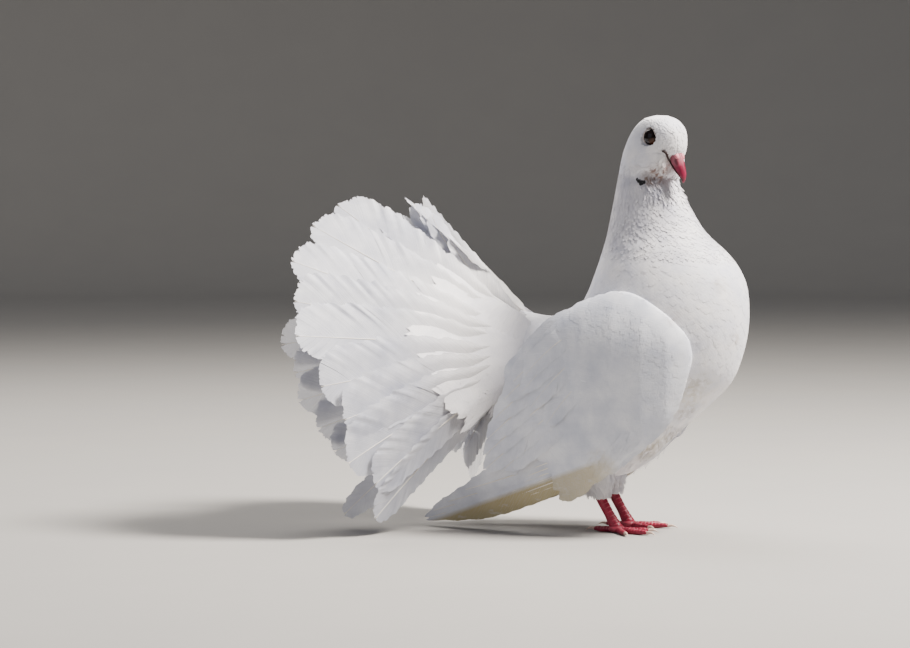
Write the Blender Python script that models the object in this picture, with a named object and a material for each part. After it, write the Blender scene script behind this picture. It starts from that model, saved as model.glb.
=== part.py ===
"""A standing white fantail pigeon, life size, as a still museum model.

The bird looks along +X and stands on z = 0, with its left side at +Y.
Every size below is in millimetres. The meshes are made in metres.
"""

import math
import random

import bmesh
import bpy
import numpy as np

MM = 0.001
GAP = 0.3                     # the clearance between two pieces that touch
RING = 24                     # points round each body section
CREASE = 40                   # degrees: steeper edges than this stay crisp in the shading
SEED = 11

# Flesh of head, neck and torso: one loft, parted at two sections. Each row is
# a section: back point (forward, height), front point, half width, and the
# turn of the section to the bird's right. Forward is measured from NECK_X.
NECK_X = 31.0
NECK_Y = -1.0
HEAD_TURN = 30.0
SECTIONS = (
    ("rump", (-77, 142), (-82, 96), 14, 0),
    ("vent", (-72, 141), (-73, 77), 22, 0),
    ("flank", (-67, 140.3), (-59, 54), 31, 0),
    ("thighs", (-62, 140.3), (-39, 39), 38, 0),
    ("belly", (-58, 141), (-17, 36), 42, 0),
    ("keel", (-55, 141.5), (4, 47), 44, 0),
    ("lower breast", (-51.5, 142.5), (20.5, 64), 45, 0),
    ("breast side", (-48, 144), (41, 82.5), 45.5, 0),
    ("breast", (-44, 147), (56.5, 99), 45.5, 0),
    ("full breast", (-40, 153), (65, 122), 45, 0),
    ("shoulders", (-35.5, 163), (67.5, 144), 43, 0),
    ("crop", (-31, 176), (65, 164), 38.5, 0),
    ("neck base", (-27.5, 187), (55.5, 180), 33, 0),
    ("low neck", (-24.5, 200), (38.5, 196.5), 26, 2),
    ("mid neck", (-21, 219), (27.5, 215), 20.5, 12),
    ("throat", (-18, 236), (21.5, 229), 17.2, 26),
    ("chin", (-16.3, 246), (27, 237.5), 16.4, HEAD_TURN),
    ("cheek", (-13.3, 254), (29.8, 246), 15.4, HEAD_TURN),
    ("eye line", (-9.3, 261), (31.8, 254), 14.2, HEAD_TURN),
    ("forehead", (-4, 266.5), (30.8, 262), 12.4, HEAD_TURN),
    ("crown", (2.5, 270.3), (25.5, 268), 9.4, HEAD_TURN),
    ("crown top", (9, 271.9), (18.5, 271.4), 4.2, HEAD_TURN),
)
TORSO_END = 12                # the torso ends and the neck begins at this section
NECK_END = 15                 # the neck ends and the head begins at this section
STEPS = 2                     # rings made between two sections
HEAD_STEPS = 3
SQUARENESS = 0.93             # power on a section's sine: below 1 its sides are a little fuller than an ellipse's

# Head
EYE_FORWARD = 14.0
EYE_HEIGHT = 257.7
EYE_RADIUS = 6.2
EYE_SIDE = 8.4                # from the head's middle plane to the eye's centre
LID_RADIUS = 5.0
LID_THICK = 0.85
BILL_ROOT = (24.2, 243.6)     # forward and height of the bill's root, at the mouth line
BILL_DOWN = 57.0              # the slope of the mouth line
BILL_LENGTH = 17.5
BILL_WIDTH = 8.8
BILL_HEIGHT = 5.8
LOWER_LENGTH = 14.6
LOWER_HEIGHT = 3.0
BILL_HIDDEN = 3.5             # how far the bill runs back under the face feathers
HOOK_START = 0.84             # the share of the upper bill's length where its tip bends down
HOOK_DROP = 1.6
NOSTRIL_RADII = (1.2, 1.2, 1.5)

# Legs
LEG_SIDE = 17.0
HOCK = (5.0, 22.0)            # forward and height where the scaled shank starts
ANKLE = (14.0, 5.6)
SHANK_RADIUS = 3.3
TOE_RADIUS = 2.0
PAD_RADIUS = 5.6
PAD_HEIGHT = 2.6
THIGH_TOP = (-2.0, 52.0)
THIGH_RADIUS = 15.0
# Toes: name, turn from straight ahead to the outside, length
TOES = (("inner", -32.0, 21.0), ("middle", 4.0, 27.0), ("outer", 38.0, 22.0), ("hind", 172.0, 17.0))
CLAW_LENGTH = 6.0
FOOT_TURN = {"right": 24.0, "left": -6.0}

# Tail: all tips are polar about TAIL_PIVOT: rise above the level, swing to the
# bird's right, and reach. Each row is one place along the fan, top to bottom.
TAIL_PIVOT = (-43.5, 0.0, 131.0)
FAN_RIGHT = (
    (33.5, -11.0, 138.0), (34.0, -5.0, 151.0), (30.0, 5.0, 163.0), (23.5, 17.0, 170.0),
    (14.0, 29.0, 172.0), (4.0, 37.0, 173.0), (-4.0, 43.0, 172.0), (-12.0, 47.0, 172.0),
    (-20.5, 50.0, 172.0), (-30.0, 50.0, 172.0), (-39.0, 49.0, 163.0), (-46.5, 45.0, 167.0),
)
FAN_LEFT = (
    (36.0, -27.0, 146.0), (33.5, -35.0, 153.0), (27.0, -41.0, 164.0), (18.0, -46.0, 170.0),
    (9.0, -48.0, 172.0), (0.0, -49.0, 173.0), (-8.0, -50.0, 172.0), (-16.0, -50.0, 172.0),
    (-24.0, -50.0, 170.0), (-31.0, -50.0, 168.0), (-37.0, -51.0, 163.0), (-42.0, -51.0, 157.0),
)
FAN_MIDDLE = (
    (-3.0, 8.0, 176.0), (-10.0, 8.0, 174.0), (-17.0, 7.0, 171.0), (-24.5, 7.0, 170.0),
    (-31.5, 6.0, 163.0),
)
TAIL_ROOT_X = -46.0
TAIL_ROOT_TOP = 137.0
TAIL_ROOT_LOW = 102.0
TAIL_ROOT_SIDE = 8.4
TAIL_ROOT_HALF = 4.3          # half thickness of each tail root
TAIL_VANE_HALF = 16.5
TAIL_VANE_THICK = 0.8
TAIL_TILT = 8.0
CAMBER = 0.05                 # how far a vane's edges bend in, as a share of its half width
COVERT_END = 0.36             # how far out along the feathers the coverts' base reaches

# Wing, in its own plane: along runs from the wrist back and down, up is square to it.
WING_START = (66.0, 118.0)
WING_SLOPE = 30.0
# Distance of the folded wing from the bird's middle plane, by forward place
WING_SIDE = ((-122, 22), (-100, 26), (-70, 34), (-45, 41), (-20, 47), (0, 50.5), (20, 52), (40, 51),
             (56, 47.5), (68, 42.5), (78, 36))
# Outline of the coverts: along, low edge, high edge, half thickness
COVERTS = ((-7, 6, 14, 1.5), (-3, -4, 29, 3.2), (5, -13, 45, 4.2), (15, -23, 56, 4.6),
           (29, -31.5, 60, 4.6), (44, -34.5, 61, 4.4), (57.5, -36, 60.5, 4.2))
# The left wing is tucked higher: how much its low edge rises at each row of the coverts
TUCK = {"right": (0, 0, 0, 0, 0, 0, 0), "left": (5, 8, 9, 7, 3, 0, 0)}
FLIGHT_BASE = ((57.8, -11.5, 60.4, 4.1), (68, -11.5, 59, 3.6), (80, -11.5, 54, 2.9), (94, -11.5, 44, 1.8))
HAND_BASE = ((57.8, -36.4, -12.2, 4.0), (72, -38, -12.2, 3.8), (90, -40, -12.4, 3.2), (108, -39, -13, 2.2))
# Flight feathers: root (along, up), tip (along, up)
SECONDARIES = (
    ((52, 55), (93, 48.5)), ((56, 50), (107, 40.5)), ((60, 44), (119, 33.5)), ((64, 36.5), (131, 26.0)),
    ((68, 28.5), (142, 17.0)), ((72, 20), (150, 8.5)), ((76, 11), (155, 0.5)), ((80, 2), (142, -5.5)),
)
PRIMARIES = (
    ((84, -17), (156, -1)), ((86, -20), (177, -4)), ((88, -23), (193, -5)), ((90, -26), (206, -5)),
    ((92, -29), (214, -7)), ((94, -32), (202, -13)), ((96, -34), (189, -18.5)),
)
FLIGHT_THICK = 1.1
FLIGHT_STEP = 0.9             # from one flight feather's layer to the next
PRIMARY_DEPTH = 3.2           # how far the primaries lie under the secondaries
SECONDARY_DEPTH = 1.6
SECONDARY_HALF = 10.0         # half the width of a feather
PRIMARY_HALF = 8.5
COVERTS_INSIDE = 9.0          # how much deeper each pad reaches on its inner side
FLIGHT_INSIDE = 2.0
HAND_INSIDE = 1.5

WHITE = (0.86, 0.87, 0.90)
TAIL_WHITE = (0.78, 0.79, 0.84)
LEG_RED = (0.55, 0.03, 0.05)
BILL_RED = (0.62, 0.12, 0.13)
CLAW_HORN = (0.72, 0.60, 0.52)
EYE_DARK = (0.02, 0.01, 0.01)

SIDES = {"right": -1.0, "left": 1.0}


def clear_scene():
    for obj in list(bpy.data.objects):
        bpy.data.objects.remove(obj)
    for mesh in list(bpy.data.meshes):
        bpy.data.meshes.remove(mesh)


def collection(name, hidden=False):
    made = bpy.data.collections.new(name)
    bpy.context.scene.collection.children.link(made)
    made.hide_render = hidden
    return made


def material(name, colour, roughness):
    made = bpy.data.materials.new(name)
    made.use_nodes = True
    shader = made.node_tree.nodes["Principled BSDF"]
    shader.inputs["Base Color"].default_value = (*colour, 1.0)
    shader.inputs["Roughness"].default_value = roughness
    shader.inputs["Metallic"].default_value = 0.0
    return made


def mesh_object(name, points, faces, finish, home):
    """A mesh object from points in millimetres, smooth but for its sharp edges."""
    mesh = bpy.data.meshes.new(name)
    mesh.from_pydata((np.asarray(points) * MM).tolist(), [], faces)
    mesh.materials.append(finish)
    work = bmesh.new()
    work.from_mesh(mesh)
    bmesh.ops.recalc_face_normals(work, faces=work.faces)
    if work.calc_volume(signed=True) < 0:
        bmesh.ops.reverse_faces(work, faces=work.faces)
    work.to_mesh(mesh)
    work.free()
    mesh.shade_smooth()
    mesh.set_sharp_from_angle(angle=math.radians(CREASE))
    made = bpy.data.objects.new(name, mesh)
    if home is CUTTERS:
        made.hide_render = True
        made.display_type = "WIRE"
    home.objects.link(made)
    return made


def unit(vectors):
    vectors = np.asarray(vectors, float)
    return vectors / np.linalg.norm(vectors, axis=-1, keepdims=True)


def between(rows, place):
    """Values of a table of rows at a place that may lie between two of them, on a smooth curve."""
    rows = np.asarray(rows, float)
    low = int(np.clip(math.floor(place), 0, len(rows) - 2))
    share = place - low
    four = rows[np.clip([low - 1, low, low + 1, low + 2], 0, len(rows) - 1)]
    a = -0.5 * four[0] + 1.5 * four[1] - 1.5 * four[2] + 0.5 * four[3]
    b = four[0] - 2.5 * four[1] + 2 * four[2] - 0.5 * four[3]
    c = 0.5 * (four[2] - four[0])
    return ((a * share + b) * share + c) * share + four[1]


def loft(rings):
    """Points and faces of a closed body: rings of equal count joined in turn, with flat ends."""
    rings = np.asarray(rings, float)
    count, around = rings.shape[:2]
    faces = []
    for k in range(count - 1):
        for i in range(around):
            j = (i + 1) % around
            faces.append((k * around + i, k * around + j, (k + 1) * around + j, (k + 1) * around + i))
    faces.append(tuple(range(around))[::-1])
    faces.append(tuple((count - 1) * around + i for i in range(around)))
    return rings.reshape(-1, 3), faces


def evaluated_copy(obj):
    graph = bpy.context.evaluated_depsgraph_get()
    return bpy.data.meshes.new_from_object(obj.evaluated_get(graph))


def keep_largest(mesh):
    """Removes every closed surface of the mesh but the one with the largest volume."""
    work = bmesh.new()
    work.from_mesh(mesh)
    left = set(work.verts)
    islands = []
    while left:
        stack = [left.pop()]
        island = set(stack)
        while stack:
            for edge in stack.pop().link_edges:
                for vert in edge.verts:
                    if vert in left:
                        left.discard(vert)
                        island.add(vert)
                        stack.append(vert)
        islands.append(island)

    def size(island):
        faces = {face for vert in island for face in vert.link_faces}
        return abs(sum(face.calc_center_median().dot(face.normal) * face.calc_area() for face in faces))

    islands.sort(key=size, reverse=True)
    for island in islands[1:]:
        bmesh.ops.delete(work, geom=list(island), context="VERTS")
    bmesh.ops.triangulate(work, faces=work.faces)
    work.to_mesh(mesh)
    work.free()


def boolean(obj, others, operation):
    """Joins the other objects to this one, or cuts them from it, in one step that is applied."""
    group = bpy.data.collections.new("operands")
    bpy.context.scene.collection.children.link(group)
    for other in others:
        for home in list(other.users_collection):
            home.objects.unlink(other)
        group.objects.link(other)
    step = obj.modifiers.new("step", "BOOLEAN")
    step.operation = operation
    step.solver = "MANIFOLD"
    step.operand_type = "COLLECTION"
    step.collection = group
    mesh = evaluated_copy(obj)
    obj.modifiers.remove(step)
    old = obj.data
    name = old.name
    obj.data = mesh
    bpy.data.meshes.remove(old)
    mesh.name = name
    keep_largest(mesh)
    for other in others:
        bpy.data.objects.remove(other)
    bpy.data.collections.remove(group)
    obj.data.shade_smooth()
    obj.data.set_sharp_from_angle(angle=math.radians(CREASE))


def body_ring(place, grow=0.0, shift=0.0):
    """One section of the flesh: an ellipse a little squared, turned about the neck's axis."""
    rows = [(*back, *front, half, turn) for _, back, front, half, turn in SECTIONS]
    back_f, back_z, front_f, front_z, half, turn = between(rows, place)
    centre = np.array(((back_f + front_f) / 2, (back_z + front_z) / 2))
    reach = np.array(((front_f - back_f) / 2, (front_z - back_z) / 2))
    reach *= 1 + grow / np.linalg.norm(reach)
    half += grow
    normal = np.array((-reach[1], reach[0])) / np.linalg.norm(reach)
    centre = centre + normal * shift
    angle = np.linspace(0, 2 * math.pi, RING, endpoint=False)
    along, across = np.cos(angle), np.sin(angle)
    forward = centre[0] + reach[0] * along
    height = centre[1] + reach[1] * along
    side = half * np.sign(across) * np.abs(across) ** SQUARENESS
    turn = math.radians(turn)
    x = NECK_X + forward * math.cos(turn) - side * math.sin(turn)
    y = NECK_Y * turn / math.radians(HEAD_TURN) - forward * math.sin(turn) - side * math.cos(turn)
    return np.stack([x, y, height], axis=1)


def body_rings(first, last, grow=0.0, low_gap=0.0, high_gap=0.0, steps=STEPS):
    places = np.linspace(first, last, (last - first) * steps + 1)
    rings = [body_ring(place, grow) for place in places]
    rings[0] = body_ring(first, grow, low_gap)
    rings[-1] = body_ring(last, grow, -high_gap)
    return rings


def head_point(forward, side, height):
    """A point of the head: forward and to its right from the neck's axis, turned with the head."""
    turn = math.radians(HEAD_TURN)
    return np.array((
        NECK_X + forward * math.cos(turn) - side * math.sin(turn),
        NECK_Y - forward * math.sin(turn) - side * math.cos(turn),
        height,
    ))


def head_vector(forward, side, height):
    return head_point(forward, side, height) - head_point(0, 0, 0)


def make_flesh():
    """Torso, neck and head. The head is handed back, because the eyes and the mouth are cut in it."""
    mesh_object("torso", *loft(body_rings(0, TORSO_END, high_gap=GAP / 2)), FEATHER, PARTS)
    mesh_object("neck", *loft(body_rings(TORSO_END, NECK_END, 0, GAP / 2, GAP / 2)), FEATHER, PARTS)
    rings = body_rings(NECK_END, len(SECTIONS) - 1, 0, GAP / 2, 0, HEAD_STEPS)
    return mesh_object("head", *loft(rings), FEATHER, PARTS)


def ball(name, centre, radii, finish, home, segments=20, rings=12):
    work = bmesh.new()
    bmesh.ops.create_uvsphere(work, u_segments=segments, v_segments=rings, radius=1.0)
    points = np.array([vert.co[:] for vert in work.verts]) * radii + centre
    faces = [tuple(vert.index for vert in face.verts) for face in work.faces]
    work.free()
    return mesh_object(name, points, faces, finish, home)


def lid_ring(name, centre, axis, grow):
    """A rounded ring that stands round the eye's opening, square to the eye's axis."""
    axis = unit(axis)
    up = unit(np.array((0, 0, 1.0)) - axis * axis[2])
    ahead = np.cross(up, axis)
    turns = np.linspace(0, 2 * math.pi, 20, endpoint=False)
    small = np.linspace(0, 2 * math.pi, 6, endpoint=False)
    points = []
    for turn in turns:
        spoke = ahead * math.cos(turn) + up * math.sin(turn) * 1.04
        for angle in small:
            reach = LID_RADIUS + (LID_THICK + grow) * math.cos(angle)
            points.append(centre + spoke * reach + axis * (LID_THICK + grow) * math.sin(angle))
    faces = []
    for k in range(len(turns)):
        for i in range(6):
            a, b = k * 6 + i, k * 6 + (i + 1) % 6
            c, d = ((k + 1) % 20) * 6 + (i + 1) % 6, ((k + 1) % 20) * 6 + i
            faces.append((a, b, c, d))
    return mesh_object(name, points, faces, FEATHER, PARTS)


def bill_half(name, length, heights, width, below, droop, start=0.0):
    """Half of the bill as a loft from its root: flat at the mouth line, rounded away from it."""
    slope = math.radians(BILL_DOWN)
    ahead = head_vector(math.cos(slope), 0, -math.sin(slope))
    away = head_vector(math.sin(slope), 0, math.cos(slope)) * (-1 if below else 1)
    side = head_vector(0, 1, 0)
    root = head_point(BILL_ROOT[0], 0, BILL_ROOT[1])
    rings = []
    for share in np.linspace(0, 1, 9):
        wide = width / 2 * (1 - share ** 2.2) ** 0.75 + 0.45
        high = between([(h,) for h in heights], share * (len(heights) - 1))[0]
        drop = droop * (max(0.0, share - HOOK_START) / (1 - HOOK_START)) ** 2
        angles = np.linspace(0, math.pi, 9)
        arch = np.stack([np.cos(angles) * wide, np.sin(angles) ** 0.85 * high], axis=1)
        ring = [root + ahead * (start + share * (length - start)) + side * a + away * (h + GAP / 2 - drop)
                for a, h in arch]
        rings.append(ring)
    return mesh_object(name, *loft(rings), BILL, PARTS)


def make_head(head):
    """Eyes in their sockets, lids, bill in two halves, mouth line and nostrils."""
    sockets = []
    lids = []
    for side_name, side in (("right", 1.0), ("left", -1.0)):
        centre = head_point(EYE_FORWARD, side * EYE_SIDE, EYE_HEIGHT)
        axis = head_vector(0.16, side, 0.04)
        rim = centre + unit(axis) * math.sqrt(EYE_RADIUS ** 2 - LID_RADIUS ** 2) * 1.32
        lids.append(lid_ring("lid_" + side_name, rim, axis, 0.0))
        ball("eye_" + side_name, centre, np.full(3, EYE_RADIUS), EYE, PARTS, 14, 9)
        sockets.append(ball("socket", centre, np.full(3, EYE_RADIUS + GAP), FEATHER, CUTTERS, 14, 9))
    boolean(head, lids, "UNION")
    boolean(head, sockets, "DIFFERENCE")
    upper = bill_half("bill_upper", BILL_LENGTH, (BILL_HEIGHT, BILL_HEIGHT * 0.98, BILL_HEIGHT * 0.9,
                      BILL_HEIGHT * 0.66, 1.2), BILL_WIDTH, False, HOOK_DROP, -BILL_HIDDEN)
    lower = bill_half("bill_lower", LOWER_LENGTH, (LOWER_HEIGHT, LOWER_HEIGHT, LOWER_HEIGHT * 0.9,
                      LOWER_HEIGHT * 0.7, 0.7), BILL_WIDTH * 0.86, True, 0.0, -BILL_HIDDEN)
    slope = math.radians(BILL_DOWN)
    nostrils = []
    for side in (1.0, -1.0):
        spot = head_point(BILL_ROOT[0], side * 2.9, BILL_ROOT[1]) + head_vector(
            math.cos(slope) * 5.0 + math.sin(slope) * 3.9, 0, -math.sin(slope) * 5.0 + math.cos(slope) * 3.9)
        nostrils.append(ball("nostril", spot, NOSTRIL_RADII, BILL, CUTTERS, 10, 6))
    boolean(upper, nostrils, "DIFFERENCE")
    # The mouth line runs back under the cheek feathers from the bill's root.
    ahead = head_vector(math.cos(slope), 0, -math.sin(slope))
    away = head_vector(math.sin(slope), 0, math.cos(slope))
    side = head_vector(0, 1, 0)
    gape = head_point(BILL_ROOT[0], 0, BILL_ROOT[1]) - ahead * 8.5
    corners = [gape + ahead * a + side * s + away * w
               for a in (0, 16) for s in (-22, 22) for w in (-0.2, 0.2 + GAP)]
    slit = mesh_object("mouth_line", corners, [(0, 1, 3, 2), (4, 6, 7, 5), (0, 4, 5, 1), (2, 3, 7, 6),
                                               (0, 2, 6, 4), (1, 5, 7, 3)], FEATHER, CUTTERS)
    boolean(head, [slit], "DIFFERENCE")
    for piece in (upper, lower):
        rings = body_rings(NECK_END - 1, len(SECTIONS) - 1, GAP)
        boolean(piece, [mesh_object("head_room", *loft(rings), FEATHER, CUTTERS)], "DIFFERENCE")


def torso_room():
    """The torso and its clearance, as a cutter for the pieces that sit on it."""
    return mesh_object("torso_room", *loft(body_rings(0, TORSO_END + 1, GAP, -GAP)), FEATHER, CUTTERS)


def rise_of(points):
    """The direction of travel at each point of a path."""
    return unit(np.gradient(np.asarray(points, float), axis=0))


def vane(name, path, across, outward, halves, thick, finish=None):
    """A feather: a thin blade with a ridge along its middle, tapering to its edges and tip.

    path, across and outward give the middle line, the direction over the blade and the
    side that faces out at each row. Both faces are split alike, so they never cross.
    """
    path, across, outward = (np.asarray(a, float) for a in (path, across, outward))
    halves = np.asarray(halves, float)
    rows = len(path)
    thick = np.broadcast_to(thick, rows)
    points = []
    for face in (1.0, -1.0):
        for k in range(rows):
            for place in (-1.0, 0.0, 1.0):
                edge = abs(place)
                half = halves[k]
                out = (-CAMBER * half * edge) + face * thick[k] / 2 * (1 - 0.25 * edge)
                points.append(path[k] + across[k] * half * place + outward[k] * out)

    def top(k, i):
        return k * 3 + i

    def low(k, i):
        return (rows + k) * 3 + i

    faces = []
    for k in range(rows - 1):
        for i in range(2):
            a, b, c, d = (k, i), (k, i + 1), (k + 1, i + 1), (k + 1, i)
            faces.append((top(*a), top(*b), top(*c)))
            faces.append((top(*a), top(*c), top(*d)))
            faces.append((low(*a), low(*c), low(*b)))
            faces.append((low(*a), low(*d), low(*c)))
        for i in (0, 2):
            faces.append((top(k, i), top(k + 1, i), low(k + 1, i)))
            faces.append((top(k, i), low(k + 1, i), low(k, i)))
    for k in (0, rows - 1):
        for i in range(2):
            faces.append((top(k, i), top(k, i + 1), low(k, i + 1)))
            faces.append((top(k, i), low(k, i + 1), low(k, i)))
    return mesh_object(name, points, faces, finish or TAIL, PARTS)


def tail_tip(fan, place):
    rise, swing, reach = between(fan, place)
    rise, swing = math.radians(rise), math.radians(swing)
    return np.array(TAIL_PIVOT) + reach * np.array((
        -math.cos(rise) * math.cos(swing), -math.cos(rise) * math.sin(swing), math.sin(rise)))


def tail_path(fan, side, place, shares):
    """The line of a tail feather: it leaves the root bundled with the others and bends to its tip."""
    share = place / (len(fan) - 1)
    root = np.array((TAIL_ROOT_X, side * TAIL_ROOT_SIDE, TAIL_ROOT_TOP + (TAIL_ROOT_LOW - TAIL_ROOT_TOP) * share))
    tip = tail_tip(fan, place)
    reach = np.linalg.norm(tip - root)
    bundle = unit(np.array((-1.0, 0.0, 0.3 - 0.5 * share)))
    bend = root + unit(bundle * 0.5 + unit(tip - root) * 0.5) * reach * 0.3
    s = np.asarray(shares, float)[:, None]
    return root * (1 - s) ** 2 + bend * 2 * s * (1 - s) + tip * s ** 2


def tail_frame(fan, side, place, shares):
    """Path, direction down the fan, and outward side at each share of a feather's length."""
    path = tail_path(fan, side, place, shares)
    step = 0.05
    over = tail_path(fan, side, place + step, shares) - tail_path(fan, side, place - step, shares)
    ahead = rise_of(path)
    over = unit(over - ahead * np.sum(over * ahead, axis=1, keepdims=True))
    outward = np.cross(ahead, over)
    wanted = np.array((0.3, side if side else -1.0, 0.35))
    outward *= np.sign(np.sum(outward * wanted, axis=1, keepdims=True))
    return path, over, outward


def tail_base(fan, side):
    """The closed base that the coverts cover: a wedge from the rump that thins out along the fan."""
    rings = []
    shares = np.linspace(0.0, COVERT_END, 6)
    places = np.linspace(0, len(fan) - 1, 11)
    frames = [tail_frame(fan, side, place, shares) for place in places]
    for k, share in enumerate(shares):
        half = 0.75 + (TAIL_ROOT_HALF - 0.75) * (1 - share / COVERT_END) ** 1.6
        outer = []
        inner = []
        for n, (path, over, outward) in enumerate(frames):
            edge = abs(2 * n / (len(places) - 1) - 1)
            part = half * (1 - edge ** 6 * 0.6)
            outer.append(path[k] + outward[k] * part)
            inner.append(path[k] - outward[k] * part)
        rings.append(outer + inner[::-1])
    return rings


def make_tail(name, fan, side, vanes, rng):
    base = mesh_object(name, *loft(tail_base(fan, side)), TAIL, PARTS)
    blades = []
    tilt = math.radians(TAIL_TILT)
    shares = np.array((0.12, 0.36, 0.60, 0.80, 0.93, 1.0))
    widths = np.array((0.24, 0.55, 0.86, 1.0, 0.86, 0.42))
    for n in range(vanes):
        place = n * (len(fan) - 1) / (vanes - 1) + rng.uniform(-0.06, 0.06) * (0 < n < vanes - 1)
        path, over, outward = tail_frame(fan, side, place, shares * rng.uniform(0.975, 1.0))
        # The lower edge tucks in, so each feather lies over the one above it.
        across = over * math.cos(tilt) - outward * math.sin(tilt)
        out = outward * math.cos(tilt) + over * math.sin(tilt)
        halves = TAIL_VANE_HALF * widths * rng.uniform(0.94, 1.05)
        blades.append(vane(f"{name}_vane_{n}", path, across, out, halves, TAIL_VANE_THICK))
    boolean(base, blades, "UNION")
    boolean(base, [torso_room()], "DIFFERENCE")
    return base


def wing_side(x, z):
    """Distance of the folded wing's surface from the middle plane: fullest at mid height."""
    table = np.array(WING_SIDE, float)
    flat = np.interp(x, table[:, 0], table[:, 1])
    over = np.clip((z - WING_START[1]) / 45.0, 0, None)
    under = np.clip((WING_START[1] - 40.0 - z) / 60.0, 0, None)
    return flat - 13.0 * over ** 2 - 7.0 * under ** 2


def wing_point(along, up, depth, side):
    """A point on the wing: along and up in its own plane, depth outward from its surface."""
    slope = math.radians(WING_SLOPE)
    x = WING_START[0] - along * math.cos(slope) - up * math.sin(slope)
    z = WING_START[1] - along * math.sin(slope) + up * math.cos(slope)
    return np.array((x, side * (wing_side(x, z) + depth), z))


def wing_pad(name, rows, side, inside, around=20):
    """A rounded pad lofted along the wing. Its inner side reaches in by the given extra depth."""
    rings = []
    places = np.linspace(0, len(rows) - 1, 2 * len(rows) - 1)
    for place in places:
        along, low, high, half = between(rows, place)
        ring = []
        for angle in np.linspace(0, 2 * math.pi, around, endpoint=False):
            up = (low + high) / 2 + (high - low) / 2 * math.cos(angle)
            out = math.sin(angle)
            out = half * out ** 0.7 if out > 0 else -(half + inside) * (-out) ** 0.7
            ring.append(wing_point(along, up, out, side))
        rings.append(ring)
    return mesh_object(name, *loft(rings), FEATHER, PARTS)


def flight_feather(name, root, tip, side, half, depth, tilt, bow):
    """One long wing feather laid on the wing's surface at its own layer."""
    shares = np.array((0.0, 0.33, 0.65, 0.86, 0.96, 1.0))
    widths = np.array((0.8, 1.0, 1.0, 0.84, 0.54, 0.24))
    root, tip = np.array(root, float), np.array(tip, float)
    along = unit(tip - root)
    square = np.array((-along[1], along[0]))
    line = root + (tip - root) * shares[:, None] + square * (bow * 4 * shares * (1 - shares))[:, None]
    path = np.array([wing_point(a, u, depth, side) for a, u in line])
    edge = np.array([wing_point(a, u, depth - tilt, side) for a, u in line + square])
    across = unit(edge - path)
    outward = np.cross(rise_of(path), across)
    outward *= np.sign(np.sum(outward * np.array((0.2, side, 0.1)), axis=1, keepdims=True))
    thick = FLIGHT_THICK * np.array((1, 1, 1, 0.88, 0.72, 0.6))
    return vane(name, path, across, unit(outward), half * widths, thick, FEATHER)


def make_wing(side_name):
    side = SIDES[side_name]
    rows = [(along, low + tuck, high, half) for (along, low, high, half), tuck in zip(COVERTS, TUCK[side_name])]
    coverts = wing_pad(f"wing_{side_name}_coverts", rows, side, COVERTS_INSIDE)
    flight = wing_pad(f"wing_{side_name}_secondaries", FLIGHT_BASE, side, FLIGHT_INSIDE)
    hand = wing_pad(f"wing_{side_name}_primaries", HAND_BASE, side, HAND_INSIDE, 16)
    blades = []
    for n, (root, tip) in enumerate(SECONDARIES):
        blades.append(flight_feather(f"secondary_{n}", root, tip, side, SECONDARY_HALF, SECONDARY_DEPTH, 0.105, 1.0))
    clip_front(blades, side)
    boolean(flight, blades, "UNION")
    blades = []
    for n, (root, tip) in enumerate(PRIMARIES):
        depth = -PRIMARY_DEPTH - (n - 3) * FLIGHT_STEP * 0.55
        blades.append(flight_feather(f"primary_{n}", root, tip, side, PRIMARY_HALF, depth, 0.03, -1.5))
    boolean(hand, blades, "UNION")
    grown = [(along, low - GAP, high + GAP, half + GAP) for along, low, high, half in FLIGHT_BASE]
    boolean(hand, [wing_pad("flight_room", grown, side, FLIGHT_INSIDE)], "DIFFERENCE")
    for piece in (coverts, flight, hand):
        boolean(piece, [torso_room()], "DIFFERENCE")


def clip_front(blades, side):
    """Keeps the feathers' roots behind the coverts' end, so that they stay in their own node."""
    for blade in blades:
        room = wing_pad("front_room", ((-20, -80, 120, 40), (20, -80, 120, 40), (FLIGHT_BASE[0][0], -80, 120, 40)),
                        side, 40.0)
        boolean(blade, [room], "DIFFERENCE")


def tube(points, radii, around=8, flat_floor=True, up=(0, 0, 1.0)):
    """Rings along a path. Where it lies on the ground its underside is flat at z = 0."""
    points = np.asarray(points, float)
    ahead = rise_of(points)
    rings = []
    for point, way, radius in zip(points, ahead, radii):
        level = np.asarray(up, float)
        side = unit(np.cross(way, level))
        top = np.cross(side, way)
        ring = [point + side * math.cos(a) * radius + top * math.sin(a) * radius
                for a in np.linspace(0, 2 * math.pi, around, endpoint=False)]
        ring = np.array(ring)
        if flat_floor:
            ring[:, 2] = np.maximum(ring[:, 2], 0.0)
        rings.append(ring)
    return rings


def foot_pad(name, hub, grow, home):
    """The pad under the ankle that the toes grow from, flattened on the ground."""
    centre = hub + np.array((0, 0, PAD_HEIGHT))
    return ball(name, centre, (PAD_RADIUS + grow, PAD_RADIUS + grow, PAD_HEIGHT + grow), LEG, home, 14, 6)


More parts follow.
